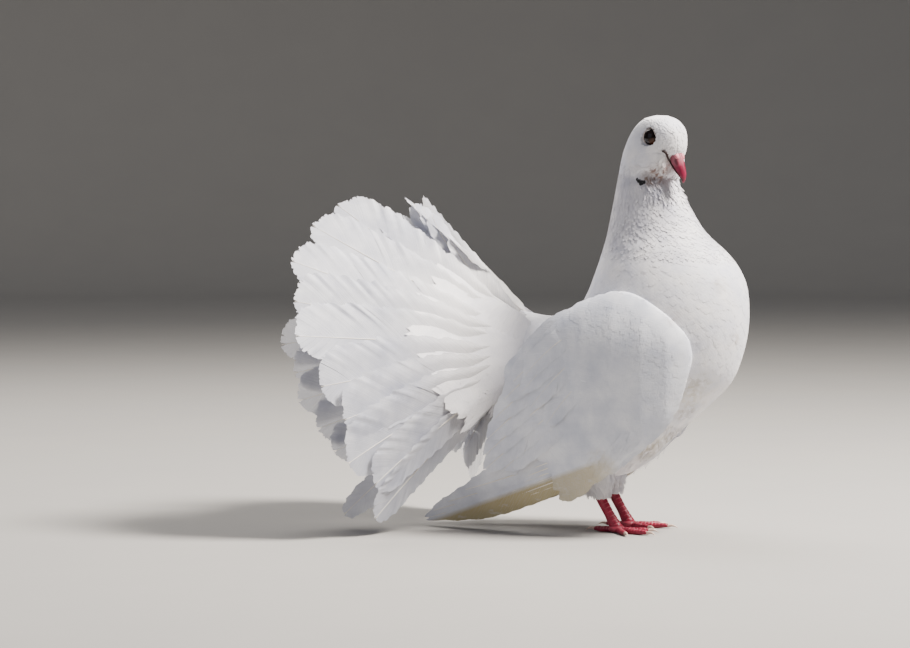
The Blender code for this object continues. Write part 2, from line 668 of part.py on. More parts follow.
def make_leg(side_name):
    side = SIDES[side_name]
    y = side * LEG_SIDE
    hock = np.array((HOCK[0], y, HOCK[1]))
    ankle = np.array((ANKLE[0], y, ANKLE[1]))
    top = np.array((THIGH_TOP[0], y, THIGH_TOP[1]))
    shares = np.linspace(0, 1, 7)
    rings = []
    for share in shares:
        centre = top + (hock + np.array((0, 0, GAP)) - top) * share
        radius = between([(THIGH_RADIUS,), (THIGH_RADIUS * 0.8,), (7.6,), (4.6,)], share * 3)[0]
        rings.append([centre + np.array((math.cos(a) * radius, math.sin(a) * radius, 0))
                      for a in np.linspace(0, 2 * math.pi, 18, endpoint=False)])
    thigh = mesh_object(f"thigh_{side_name}", *loft(rings), FEATHER, PARTS)
    boolean(thigh, [torso_room()], "DIFFERENCE")
    way = unit(ankle - hock)
    start = hock
    shank_line = [start, start + way * 3, start + (ankle - start) * 0.6, ankle, ankle + np.array((1.2, 0, -2.2)),
                  ankle + np.array((2.0, 0, -4.4))]
    radii = (SHANK_RADIUS * 1.1, SHANK_RADIUS, SHANK_RADIUS * 0.95, SHANK_RADIUS * 1.15, SHANK_RADIUS * 1.3,
             SHANK_RADIUS * 1.15)
    rings = tube(shank_line, radii, 12, up=(0, 1.0, 0))
    rings[0][:, 2] = hock[2]
    shank = mesh_object(f"shank_{side_name}", *loft(rings), LEG, PARTS)
    hub = np.array((ANKLE[0] + 1.6, y, 0.0))
    pad = foot_pad("pad", hub, 0.0, PARTS)
    boolean(shank, [pad], "UNION")
    for toe_name, turn, length in TOES:
        heading = math.radians(turn + FOOT_TURN[side_name])
        way = np.array((math.cos(heading), side * math.sin(heading), 0.0))
        places = np.linspace(PAD_RADIUS * 0.8, length, 8)
        heights = TOE_RADIUS * (0.92 + 0.10 * np.sin(np.linspace(0, 3 * math.pi, 8)))
        path = [hub + way * p + np.array((0, 0, h)) for p, h in zip(places, heights)]
        radii = TOE_RADIUS * np.array((0.8, 0.86, 1.0, 1.06, 0.96, 1.0, 0.86, 0.62))
        toe = mesh_object(f"toe_{side_name}_{toe_name}", *loft(tube(path, radii)), LEG, PARTS)
        boolean(toe, [foot_pad("pad_room", hub, GAP, CUTTERS)], "DIFFERENCE")
        tip = hub + way * (length + 2 * GAP)
        shares = np.linspace(0, 1, 5)
        path = [tip + way * s * CLAW_LENGTH + np.array((0, 0, 1.7 + 0.9 * math.sin(s * 2.6) - 1.75 * s ** 2))
                for s in shares]
        radii = 1.05 * (1 - shares) ** 0.8 + 0.16
        mesh_object(f"claw_{side_name}_{toe_name}", *loft(tube(path, radii, 6)), CLAW, PARTS)


def centre_over_origin():
    """Moves the bird in plan so that the origin lies under the middle of its box, on the ground."""
    sets = []
    for obj in PARTS.objects:
        points = np.empty(len(obj.data.vertices) * 3)
        obj.data.vertices.foreach_get("co", points)
        sets.append((obj, points.reshape(-1, 3)))
    every = np.concatenate([points for _, points in sets])
    middle = (every.min(axis=0) + every.max(axis=0)) / 2
    middle[2] = 0.0
    print("moved by", (-middle / MM).round(3).tolist(), "mm")
    for obj, points in sets:
        obj.data.vertices.foreach_set("co", (points - middle).ravel())
        obj.data.update()


clear_scene()
PARTS = collection("fantail_pigeon")
CUTTERS = collection("cutters", hidden=True)
FEATHER = material("white_plumage", WHITE, 0.75)
TAIL = material("tail_plumage", TAIL_WHITE, 0.6)
LEG = material("red_leg_scales", LEG_RED, 0.5)
BILL = material("pink_bill", BILL_RED, 0.4)
CLAW = material("horn_claw", CLAW_HORN, 0.4)
EYE = material("dark_eye", EYE_DARK, 0.08)

make_head(make_flesh())
draw = random.Random(SEED)
make_tail("tail_right", FAN_RIGHT, SIDES["right"], 12, draw)
make_tail("tail_left", FAN_LEFT, SIDES["left"], 12, draw)
make_tail("tail_middle", FAN_MIDDLE, 0.0, 5, draw)
for side_name in SIDES:
    make_wing(side_name)
    make_leg(side_name)
centre_over_origin()
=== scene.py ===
# %% [markdown]
# A white fantail pigeon, feather by feather.
# The solids give the bird's true form. This file dresses them: one smooth skin under the coat,
# thousands of small leaf feathers that follow the lie of the plumage, and the long tail and wing
# feathers built barb by barb, because frayed edges and ripples are what the eye knows a feather by.

# %% The frame and the tools
import math

import bpy
import numpy as np
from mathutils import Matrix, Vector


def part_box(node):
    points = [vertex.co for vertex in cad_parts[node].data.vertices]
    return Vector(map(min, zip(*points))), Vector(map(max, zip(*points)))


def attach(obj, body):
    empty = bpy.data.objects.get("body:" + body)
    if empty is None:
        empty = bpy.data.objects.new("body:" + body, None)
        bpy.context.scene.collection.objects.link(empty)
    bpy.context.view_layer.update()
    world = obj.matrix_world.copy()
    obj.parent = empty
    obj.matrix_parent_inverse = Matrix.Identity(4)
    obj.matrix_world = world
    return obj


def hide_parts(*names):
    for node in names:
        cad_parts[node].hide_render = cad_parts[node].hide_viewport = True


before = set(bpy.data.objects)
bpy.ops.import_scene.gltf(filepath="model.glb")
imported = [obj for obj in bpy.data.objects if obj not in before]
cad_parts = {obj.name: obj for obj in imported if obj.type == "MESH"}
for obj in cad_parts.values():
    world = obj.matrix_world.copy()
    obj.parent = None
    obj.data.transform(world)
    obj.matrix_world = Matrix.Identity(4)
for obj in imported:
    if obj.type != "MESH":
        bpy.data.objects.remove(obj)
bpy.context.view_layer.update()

MM = 0.001
draw = np.random.default_rng(2024)
print("nodes in the frame:", len(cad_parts))

# %% [markdown]
# Every place on the bird comes from the same few tables that shaped the solids. They are
# repeated here in millimetres. The right eye, found in the frame, ties the tables to the frame.

# %% Body tables
NECK_X = 31.0
NECK_Y = -1.0
HEAD_TURN = math.radians(30)
# Sections of the flesh from rump to crown: back point, front point, half width, turn
SECTIONS = np.array((
    (-77, 142, -82, 96, 14, 0), (-72, 141, -73, 77, 22, 0), (-67, 140.3, -59, 54, 31, 0),
    (-62, 140.3, -39, 39, 38, 0), (-58, 141, -17, 36, 42, 0), (-55, 141.5, 4, 47, 44, 0),
    (-51.5, 142.5, 20.5, 64, 45, 0), (-48, 144, 41, 82.5, 45.5, 0), (-44, 147, 56.5, 99, 45.5, 0),
    (-40, 153, 65, 122, 45, 0), (-35.5, 163, 67.5, 144, 43, 0), (-31, 176, 65, 164, 38.5, 0),
    (-27.5, 187, 55.5, 180, 33, 0), (-24.5, 200, 38.5, 196.5, 26, 2), (-21, 219, 27.5, 215, 20.5, 12),
    (-18, 236, 21.5, 229, 17.2, 26), (-16.3, 246, 27, 237.5, 16.4, 30), (-13.3, 254, 29.8, 246, 15.4, 30),
    (-9.3, 261, 31.8, 254, 14.2, 30), (-4, 266.5, 30.8, 262, 12.4, 30), (2.5, 270.3, 25.5, 268, 9.4, 30),
    (9, 271.9, 18.5, 271.4, 4.2, 30),
), float)
SQUARE = 0.93                 # a section's power across: 1 is a plain ellipse, less is squarer
TOP = len(SECTIONS) - 1       # the crown's place, as places count the sections from the rump
HEAD_PLACE = 15               # where the head begins
EYE_FORWARD = 14.0
EYE_SIDE = 8.4
EYE_HEIGHT = 257.7
EYE_LOOK = (0.16, 1.0, 0.04)  # the way that the right eye looks, on the head
EYE_RADIUS = 6.2
LID_RADIUS = 5.0
EYE_TALL = 1.14               # the open eye is this much taller than wide
EYE_NARROW = 0.3              # and this much narrower above
BILL_ROOT = (24.2, 243.6)
BILL_DOWN = math.radians(57)
BILL_LENGTH = 17.5
BILL_WIDTH = 8.8
LOWER_LENGTH = 14.6
print(len(SECTIONS), "sections of the flesh")

# %% Tail and wing tables
TAIL_PIVOT = np.array((-43.5, 0.0, 131.0))
# Tips about the pivot, from the top of the fan to its foot: rise, swing to the right, reach
FANS = {
    "right": np.array((
        (33.5, -11.0, 138.0), (34.0, -5.0, 151.0), (30.0, 5.0, 163.0), (23.5, 17.0, 170.0),
        (14.0, 29.0, 172.0), (4.0, 37.0, 173.0), (-4.0, 43.0, 172.0), (-12.0, 47.0, 172.0),
        (-20.5, 50.0, 172.0), (-30.0, 50.0, 172.0), (-39.0, 49.0, 163.0), (-46.5, 45.0, 167.0))),
    "left": np.array((
        (36.0, -27.0, 146.0), (33.5, -35.0, 153.0), (27.0, -41.0, 164.0), (18.0, -46.0, 170.0),
        (9.0, -48.0, 172.0), (0.0, -49.0, 173.0), (-8.0, -50.0, 172.0), (-16.0, -50.0, 172.0),
        (-24.0, -50.0, 170.0), (-31.0, -50.0, 168.0), (-37.0, -51.0, 163.0), (-42.0, -51.0, 157.0))),
    "middle": np.array((
        (-3.0, 8.0, 176.0), (-10.0, 8.0, 174.0), (-17.0, 7.0, 171.0), (-24.5, 7.0, 170.0),
        (-31.5, 6.0, 163.0))),
}
FAN_SIDE = {"right": -1.0, "left": 1.0, "middle": 0.0}
TAIL_ROOT_X = -46.0
TAIL_ROOT_TOP = 137.0
TAIL_ROOT_LOW = 102.0
TAIL_ROOT_SIDE = 8.4
TAIL_ROOT_HALF = 4.3
TAIL_TILT = math.radians(8)
COVERT_END = 0.36

WING_START = (66.0, 118.0)
WING_SLOPE = math.radians(30)
WING_SIDE = np.array(((-122, 22), (-100, 26), (-70, 34), (-45, 41), (-20, 47), (0, 50.5), (20, 52),
                      (40, 51), (56, 47.5), (68, 42.5), (78, 36)), float)
# Pads: along the wing, low edge, high edge, half thickness
COVERTS = np.array(((-7, 6, 14, 1.5), (-3, -4, 29, 3.2), (5, -13, 45, 4.2), (15, -23, 56, 4.6),
                    (29, -31.5, 60, 4.6), (44, -34.5, 61, 4.4), (57.5, -36, 60.5, 4.2)))
FLIGHT_BASE = np.array(((57.8, -11.5, 60.4, 4.1), (68, -11.5, 59, 3.6), (80, -11.5, 54, 2.9),
                        (94, -11.5, 44, 1.8)))
HAND_BASE = np.array(((57.8, -36.4, -12.2, 4.0), (72, -38, -12.2, 3.8), (90, -40, -12.4, 3.2),
                      (108, -39, -13, 2.2)))
# Flight feathers: root and tip, each along and up in the wing's own plane
SECONDARIES = np.array((
    ((52, 55), (93, 48.5)), ((56, 50), (107, 40.5)), ((60, 44), (119, 33.5)), ((64, 36.5), (131, 26.0)),
    ((68, 28.5), (142, 17.0)), ((72, 20), (150, 8.5)), ((76, 11), (155, 0.5)), ((80, 2), (142, -5.5))))
PRIMARIES = np.array((
    ((84, -17), (156, -1)), ((86, -20), (177, -4)), ((88, -23), (193, -5)), ((90, -26), (206, -5)),
    ((92, -29), (214, -7)), ((94, -32), (202, -13)), ((96, -34), (189, -18.5))))
PRIMARY_DEPTH = 3.2
SIDES = {"right": -1.0, "left": 1.0}
# The far wing is tucked higher: how much its low edge rises at each place of the coverts
TUCK = {"right": np.zeros(7), "left": np.array((5, 8, 9, 7, 3, 0, 0), float)}
print(sum(len(fan) for fan in FANS.values()), "tail feathers and", len(SECONDARIES) + len(PRIMARIES),
      "flight feathers")

# %% Leg tables
LEG_SIDE = 17.0
HOCK = (5.0, 22.0)
ANKLE = (14.0, 5.6)
SHANK_RADIUS = 3.3
TOE_RADIUS = 2.0
PAD_RADIUS = 5.6
PAD_HEIGHT = 2.6
THIGH_TOP = (-2.0, 52.0)
THIGH_RADIUS = 15.0
TOES = (("inner", -32.0, 21.0), ("middle", 4.0, 27.0), ("outer", 38.0, 22.0), ("hind", 172.0, 17.0))
CLAW_LENGTH = 6.0
FOOT_TURN = {"right": 24.0, "left": -6.0}
print(len(TOES), "toes on each foot")


# %% [markdown]
# The flesh of the bird is a loft. A few measured sections, each an ellipse turned about the
# neck, are joined by a smooth curve, so any point of the skin follows from a place along the
# body and an angle round it. Feathers need no mesh to grow on: they ask this formula.

# %% Small vector helpers
def unit(v):
    """Each vector divided by its own length."""
    v = np.asarray(v, float)
    return v / np.maximum(np.linalg.norm(v, axis=-1, keepdims=True), 1e-9)


def dot(a, b):
    """The sum of a times b over the last axis, which is kept."""
    return np.sum(a * b, axis=-1, keepdims=True)


def rows_at(rows, place):
    """Rows of a table read at any place between two of them, on a cubic through its four neighbours."""
    place = np.asarray(place, float)
    low = np.clip(np.floor(place).astype(int), 0, len(rows) - 2)
    t = (place - low)[..., None]
    a, b, c, d = (rows[np.clip(low + k, 0, len(rows) - 1)] for k in (-1, 0, 1, 2))
    square, cube = 2 * a - 5 * b + 4 * c - d, 3 * b - a - 3 * c + d
    return 0.5 * (2 * b + (c - a) * t + square * t ** 2 + cube * t ** 3)


def smooth(low, high, x):
    """0 below low, 1 above high, with an easy curve between."""
    t = np.clip((np.asarray(x, float) - low) / (high - low), 0, 1)
    return t * t * (3 - 2 * t)


def head_point(forward, side, height):
    """A point of the turned head: forward and to its right from the neck's axis, in millimetres."""
    forward, side, height = np.broadcast_arrays(*(np.asarray(v, float) for v in (forward, side, height)))
    return np.stack([NECK_X + forward * math.cos(HEAD_TURN) - side * math.sin(HEAD_TURN),
                     NECK_Y - forward * math.sin(HEAD_TURN) - side * math.cos(HEAD_TURN), height], axis=-1)


def head_vector(forward, side, height):
    """A direction on the turned head, as the difference of two head points."""
    return head_point(forward, side, height) - head_point(0, 0, 0)


print("the head looks along", head_vector(1.0, 0.0, 0.0).round(3))

# %% Flesh
# Hollows of the face: two ends of a line, forward, side and height on the head, then how near
# and how far they reach, their depth, and the point that they are drawn towards
HOLLOWS = (
    ((23.0, 3.5, 247.0), (26.4, 3.5, 240.5), 3.0, 7.0, 1.8, (10.0, 0.0, 249.0)),
    ((19.0, 0.0, 232.0), (13.0, 10.0, 234.0), 2.0, 7.0, 1.5, (6.0, 0.0, 240.0)),
)


def hollowed(points):
    """Draws the flesh in beside the root of the bill and under the jaw: each point moves towards a
    hollow's middle by its depth, and less with the distance from the hollow's line."""
    x, y, height = points[..., 0] - NECK_X, points[..., 1] - NECK_Y, points[..., 2]
    forward = x * math.cos(HEAD_TURN) - y * math.sin(HEAD_TURN)
    side = np.abs(x * math.sin(HEAD_TURN) + y * math.cos(HEAD_TURN))
    here = np.stack([forward, side, height], -1)
    for top, foot, near, far, depth, middle in HOLLOWS:
        top, span = np.array(top), np.subtract(foot, top)
        share = np.clip(dot(here - top, span) / np.sum(span ** 2), 0, 1)
        away = np.linalg.norm(here - top - span * share, axis=-1, keepdims=True)
        points = points + unit(head_point(*middle) - points) * depth * (1 - smooth(near, far, away))
    return points


def flesh(place, angle, proud=0.0):
    """The body's surface: at each place a section is an ellipse, cos(angle) from back to front and
    sin(angle) across, a little squared, and turned about the neck. proud moves it out or in."""
    back_f, back_z, front_f, front_z, half, turn = np.moveaxis(rows_at(SECTIONS, place), -1, 0)
    reach_f, reach_z = (front_f - back_f) / 2, (front_z - back_z) / 2
    grow = 1 + proud / np.hypot(reach_f, reach_z)
    along, across = np.cos(angle), np.sin(angle)
    forward = (back_f + front_f) / 2 + reach_f * grow * along
    side = (half + proud) * np.sign(across) * np.abs(across) ** SQUARE
    turn = np.radians(turn)
    points = np.stack([NECK_X + forward * np.cos(turn) - side * np.sin(turn),
                       NECK_Y * turn / HEAD_TURN - forward * np.sin(turn) - side * np.cos(turn),
                       (back_z + front_z) / 2 + reach_z * grow * along], axis=-1)
    return hollowed(points)


eye_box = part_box("eye_right")
SHIFT = np.array((eye_box[0] + eye_box[1]) / 2) / MM - head_point(EYE_FORWARD, EYE_SIDE, EYE_HEIGHT)
print("the tables lie", SHIFT.round(3), "mm from the frame")


# %% [markdown]
# A mesh is filled straight from arrays. Every coat piece also gets a map named OFBake, where
# each feather is a tiny patch at the place of its root on an unwrap of the surface it grows
# from, and a number between 0 and 1 that varies its white a little from its neighbours; on long
# feathers this number is also painted shade.

# %% Meshes from arrays
EDGE_ANGLE = 42               # steeper folds than this stay crisp, as at a feather's thin edge


def mesh_piece(name, points, quads, tris, maps=None, values=None, materials=(), material_index=None):
    """A mesh object from points in the tables' millimetres, with its maps and per-point values."""
    points = (np.asarray(points, float).reshape(-1, 3) + SHIFT) * MM
    quads = np.asarray(quads, int).reshape(-1, 4)
    tris = np.asarray(tris, int).reshape(-1, 3)
    corners = np.concatenate([quads.ravel(), tris.ravel()])
    starts = np.concatenate([np.arange(len(quads)) * 4, len(quads) * 4 + np.arange(len(tris)) * 3])
    mesh = bpy.data.meshes.new(name)
    mesh.vertices.add(len(points))
    mesh.vertices.foreach_set("co", points.ravel())
    mesh.loops.add(len(corners))
    mesh.loops.foreach_set("vertex_index", corners)
    mesh.polygons.add(len(starts))
    mesh.polygons.foreach_set("loop_start", starts)
    mesh.polygons.foreach_set("use_smooth", np.ones(len(starts), bool))
    for item in materials:
        mesh.materials.append(item)
    if material_index is not None:
        mesh.polygons.foreach_set("material_index", material_index)
    mesh.update(calc_edges=True)
    for map_name, uv in (maps or {}).items():
        layer = mesh.uv_layers.new(name=map_name)
        layer.data.foreach_set("uv", np.asarray(uv, float).reshape(-1, 2)[corners].ravel())
    for value_name, value in (values or {}).items():
        layer = mesh.attributes.new(value_name, "FLOAT", "POINT")
        layer.data.foreach_set("value", np.asarray(value, float).ravel())
    mesh.set_sharp_from_angle(angle=math.radians(EDGE_ANGLE))
    made = bpy.data.objects.new(name, mesh)
    bpy.context.scene.collection.objects.link(made)
    made["triangles"] = int(len(quads) * 2 + len(tris))
    print(f"{name}: {made['triangles']} triangles")
    return made


print("folds steeper than", EDGE_ANGLE, "degrees stay crisp")


# %% Closed bodies
def grid_faces(rows, columns):
    """Quads of a grid of rows by columns, whose last column joins the first."""
    i, j = np.meshgrid(np.arange(rows - 1) * columns, np.arange(columns), indexing="ij")
    k = (j + 1) % columns
    return np.stack([i + j, i + k, i + columns + k, i + columns + j], -1).reshape(-1, 4)


def outward_faces(points, quads, tris=()):
    """The same faces, turned round if the closed body that they make is inside out."""
    quads = np.asarray(quads, int).reshape(-1, 4)
    tris = np.asarray(tris, int).reshape(-1, 3)
    every = np.concatenate([quads[:, :3], quads[:, [0, 2, 3]], tris])
    a, b, c = (points.reshape(-1, 3)[every[:, k]] for k in range(3))
    if np.sum(a * np.cross(b, c)) < 0:
        return quads[:, ::-1], tris[:, ::-1]
    return quads, tris


def tube_body(rings):
    """A closed tube from rings of points: the rings' grid and a fan of triangles at each end."""
    rows, around = rings.shape[:2]
    points = np.concatenate([rings.reshape(-1, 3), rings[0].mean(0)[None], rings[-1].mean(0)[None]])
    j = np.arange(around)
    k = (j + 1) % around
    first = np.stack([k, j, np.full(around, rows * around)], -1)
    last = np.stack([j, k, np.full(around, rows * around + 1)], -1)
    last = last + np.array((1, 1, 0)) * (rows - 1) * around
    quads, tris = outward_faces(points, grid_faces(rows, around), np.concatenate([first, last]))
    return points, quads, tris


def tube_map(rows, around):
    """An unwrap of such a tube: rows up the map, the turn across it, and its two end points."""
    up, turn = np.meshgrid(np.linspace(0.02, 0.98, rows), np.linspace(0.02, 0.98, around), indexing="ij")
    return np.concatenate([np.stack([turn, up], -1).reshape(-1, 2), ((0.5, 0.01), (0.5, 0.99))])


print("a tube of 3 rings of 4 points has", len(tube_map(3, 4)), "points")


# %% Many bodies in one mesh
class Heap:
    """Collects many closed bodies into one mesh: arrays are appended, and each body's faces are
    counted on from the points before them."""

    def __init__(self):
        """Empty lists, and no points yet."""
        self.points, self.quads, self.tris = [], [], []
        self.bake, self.vane, self.shade, self.slots = [], [], [], []
        self.count = 0

    def add(self, points, quads, tris, bake, vane, shade, slot=0):
        """One more body, with its two maps, its shade and its finish's place in the list."""
        self.points.append(points.reshape(-1, 3))
        self.quads.append(np.asarray(quads).reshape(-1, 4) + self.count)
        self.tris.append(np.asarray(tris).reshape(-1, 3) + self.count)
        self.bake.append(bake.reshape(-1, 2))
        self.vane.append(vane.reshape(-1, 2))
        self.shade.append(np.broadcast_to(shade, points.reshape(-1, 3).shape[0]))
        self.slots.append((len(self.quads[-1]), len(self.tris[-1]), slot))
        self.count += points.reshape(-1, 3).shape[0]

    def piece(self, name, materials):
        """The mesh object of all bodies so far."""
        slots = np.concatenate([np.full(q, s) for q, _, s in self.slots]
                               + [np.full(t, s) for _, t, s in self.slots])
        return mesh_piece(name, np.concatenate(self.points), np.concatenate(self.quads),
                          np.concatenate(self.tris),
                          {"OFBake": np.concatenate(self.bake), "vane": np.concatenate(self.vane)},
                          {"shade": np.concatenate(self.shade)}, materials, slots)


def wear(piece, slot, *nodes):
    """The piece moves with the body root and stands for the named solids, which are hidden. The slot is not
    used.
    """
    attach(piece, "root")
    if nodes:
        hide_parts(*nodes)


# %% [markdown]
# White plumage is not one white. Each feather differs a little, dust and oil have stained the throat,
# the breast and the vent, and the barbs show as very fine lines. Some of the greys are painted
# shade, and the brightest white is painted light. The finishes are worked out from places on the
# bird, so that skin and feathers carry the same marks.

# %% Colours and nodes
def srgb(text):
    """A hex colour as the linear values that a shader reads."""
    channels = [int(text[k:k + 2], 16) / 255 for k in (0, 2, 4)]
    return (*[c / 12.92 if c <= 0.04045 else ((c + 0.055) / 1.055) ** 2.4 for c in channels], 1.0)


def node(tree, kind, inputs=None, **settings):
    """Adds a node with its settings, its input values and the links that feed it."""
    made = tree.nodes.new(kind)
    for name, value in settings.items():
        setattr(made, name, value)
    for name, value in (inputs or {}).items():
        if isinstance(value, bpy.types.NodeSocket):
            tree.links.new(value, made.inputs[name])
        else:
            made.inputs[name].default_value = value
    return made


def new_material(name, roughness, sheen=0.0, ior=1.5, specular=0.5):
    """A material with its shader's values, and the places on the bird that its patterns read."""
    made = bpy.data.materials.new(name)
    made.use_nodes = True
    tree = made.node_tree
    shader = tree.nodes["Principled BSDF"]
    values = {"Roughness": roughness, "IOR": ior, "Specular IOR Level": specular, "Sheen Weight": sheen}
    for value_name, value in values.items():
        shader.inputs[value_name].default_value = value
    return made, tree, shader, node(tree, "ShaderNodeTexCoord").outputs["Object"]


print("a feather's white:", [round(c, 3) for c in srgb("f1eff0")[:3]])


# %% Patterns
def laid_over(tree, under, over, *shares):
    """Colour over laid on colour under, as strong as the product of the shares."""
    share = shares[0]
    for more in shares[1:]:
        share = node(tree, "ShaderNodeMath", {0: share, 1: more}, operation="MULTIPLY").outputs[0]
    return node(tree, "ShaderNodeMix", {0: share, 6: under, 7: over}, data_type="RGBA").outputs[2]


def mottle(tree, coords, size_mm, low=None, high=None, detail=4.0, roughness=0.55, stretch=None):
    """Soft patches about size_mm across, as a share. With low and high given, the patches below
    low are 0 and those above high are 1. A stretch below 1 draws them out along its axis."""
    if stretch:
        coords = node(tree, "ShaderNodeMapping", {"Vector": coords, "Scale": stretch}).outputs[0]
    values = {"Vector": coords, "Scale": 1 / (size_mm * MM), "Detail": detail, "Roughness": roughness}
    patches = node(tree, "ShaderNodeTexNoise", values).outputs["Fac"]
    if low is None:
        return patches
    ramp = {"Value": patches, "From Min": low, "From Max": high}
    return node(tree, "ShaderNodeMapRange", ramp).outputs["Result"]


def spot(tree, coords, centre, radius, soft):
    """1 near a point of the bird and 0 beyond a radius in millimetres, falling over its soft share."""
    place = tuple((np.asarray(centre, float) + SHIFT) * MM)
    away = node(tree, "ShaderNodeVectorMath", {0: coords, 1: place}, operation="DISTANCE").outputs["Value"]
    ramp = {"Value": away, "From Min": radius * MM * (1 - soft), "From Max": radius * MM}
    return node(tree, "ShaderNodeMapRange", {**ramp, "To Min": 1.0, "To Max": 0.0}).outputs["Result"]


def plain_finish(name, roughness, base, patch, size_mm):
    """A finish that is only one colour with soft patches of another."""
    made, tree, shader, coords = new_material(name, roughness)
    colour = laid_over(tree, srgb(base), srgb(patch), mottle(tree, coords, size_mm))
    tree.links.new(colour, shader.inputs["Base Color"])
    return made


print("patterns are placed on the bird with", SHIFT.round(3), "mm added")

# %% Stains and painted shade
# Stains and painted shade: centre on the bird in the tables' millimetres, radius, colour, strength
STAINS_AND_PAINTED_SHADE = (
    (flesh(15.4, 0.62), 11.0, "7f665e", 1.1),
    (flesh(14.96, 0.94), 7.0, "86766f", 1.0),
    (flesh(14.89, 1.356), 1.3, "0c0a09", 8.0),
    (flesh(14.82, 1.298), 1.7, "0c0a09", 8.0),
    (flesh(14.75, 1.235), 2.1, "0c0a09", 8.0),
    (flesh(14.80, 1.141), 1.5, "0c0a09", 8.0),
    # Painted shade: grey spots on the body along the folded wing's front edge, where the coat tucks under
    # it. The two lowest, on the belly, are darker and browner.
    (flesh(8.69, 0.903), 11.0, "a9aab6", 0.55),
    (flesh(7.62, 0.687), 11.0, "a5a6b2", 0.6),
    (flesh(6.69, 0.382), 12.0, "9d9a9f", 0.75),
    (flesh(5.90, 0.153), 12.0, "98938f", 0.80),
    (flesh(5.24, 0.346), 13.0, "8f867b", 0.90),
    (flesh(16.2, 0.45), 4.5, "94605c", 0.8),
    (flesh(10.84, 0.696), 7.5, "a89c92", 0.60),
    (flesh(9.18, 0.359), 8.0, "a89c92", 0.50),
    (flesh(9.48, 1.32), 8.0, "b5a698", 0.50),
    (flesh(7.2, 0.64), 24.0, "c5bda8", 0.50),
    ((14.0, -42.0, 51.0), 15.0, "b9a66f", 0.80),
    ((-45.0, 0.0, 74.0), 34.0, "cbbd96", 0.60),
    # A pale yellowish tint over the far wing.
    ((-60.0, 36.0, 40.0), 62.0, "c9c0a0", 0.30),
    ((40.0, -26.0, 58.0), 26.0, "c9c3b2", 0.60),
)


print(len(STAINS_AND_PAINTED_SHADE), "stains, the first one at", STAINS_AND_PAINTED_SHADE[0][0].round(1))

# %% Ochre band
# The band on the wing's low edge: how much the edge rises for each millimetre along it, and
# for the two directions, up and along the wing, where the band is 0 and where it is full
BAND_SLOPE = 0.167
BAND_UP = (-44.0, -47.5)
BAND_ALONG = (70.0, 90.0)
print("the ochre band begins", BAND_ALONG[0], "mm along the wing")


def low_band(tree, coords):
    """1 on the low edge of the folded flight feathers, which is coloured ochre: the product of a ramp
    square to the edge and a ramp along the wing."""
    along = np.array((-math.cos(WING_SLOPE), 0.0, -math.sin(WING_SLOPE)))
    square = np.array((-math.sin(WING_SLOPE), 0.0, math.cos(WING_SLOPE))) - along * BAND_SLOPE
    start = np.array((WING_START[0], 0.0, WING_START[1])) + SHIFT
    ramps = []
    for way, (low, high) in ((square, BAND_UP), (along, BAND_ALONG)):
        far = node(tree, "ShaderNodeVectorMath", {0: coords, 1: tuple(way)}, operation="DOT_PRODUCT")
        low, high = (float(start @ way) + low) * MM, (float(start @ way) + high) * MM
        ramp = {"Value": far.outputs["Value"], "From Min": low, "From Max": high}
        ramps.append(node(tree, "ShaderNodeMapRange", ramp).outputs["Result"])
    return node(tree, "ShaderNodeMath", {0: ramps[0], 1: ramps[1]}, operation="MULTIPLY").outputs[0]


# %% [markdown]
# A feather is keratin, as hair and nails are, but split into thousands of barbs full of air.
# That scatters light as snow does: white, matt, and with a faint sheen at a flat angle. One
# function makes every plumage finish, as only the two whites and the barbs' lines differ.

# %% Plumage finishes
CLOUD = 16.0                  # broad patches of the cooler white, about three feathers across
SPECKLE = 3.4                 # the grain that breaks up stains and painted shade, as small feathers do
BAND_PATCH_SIZE = 5.0                   # size of the patches in the ochre band on the wing
# Lines on a feather's own map, 20 times life size, so 1.3 mm on the bird. Real barbs, 0.3 mm
# apart, would be too fine to show, so a line stands for a few of them
BARB_LINES = 26.0
BASE_REACH = 105.0            # the tail's feathers are whiter as far from their root as this


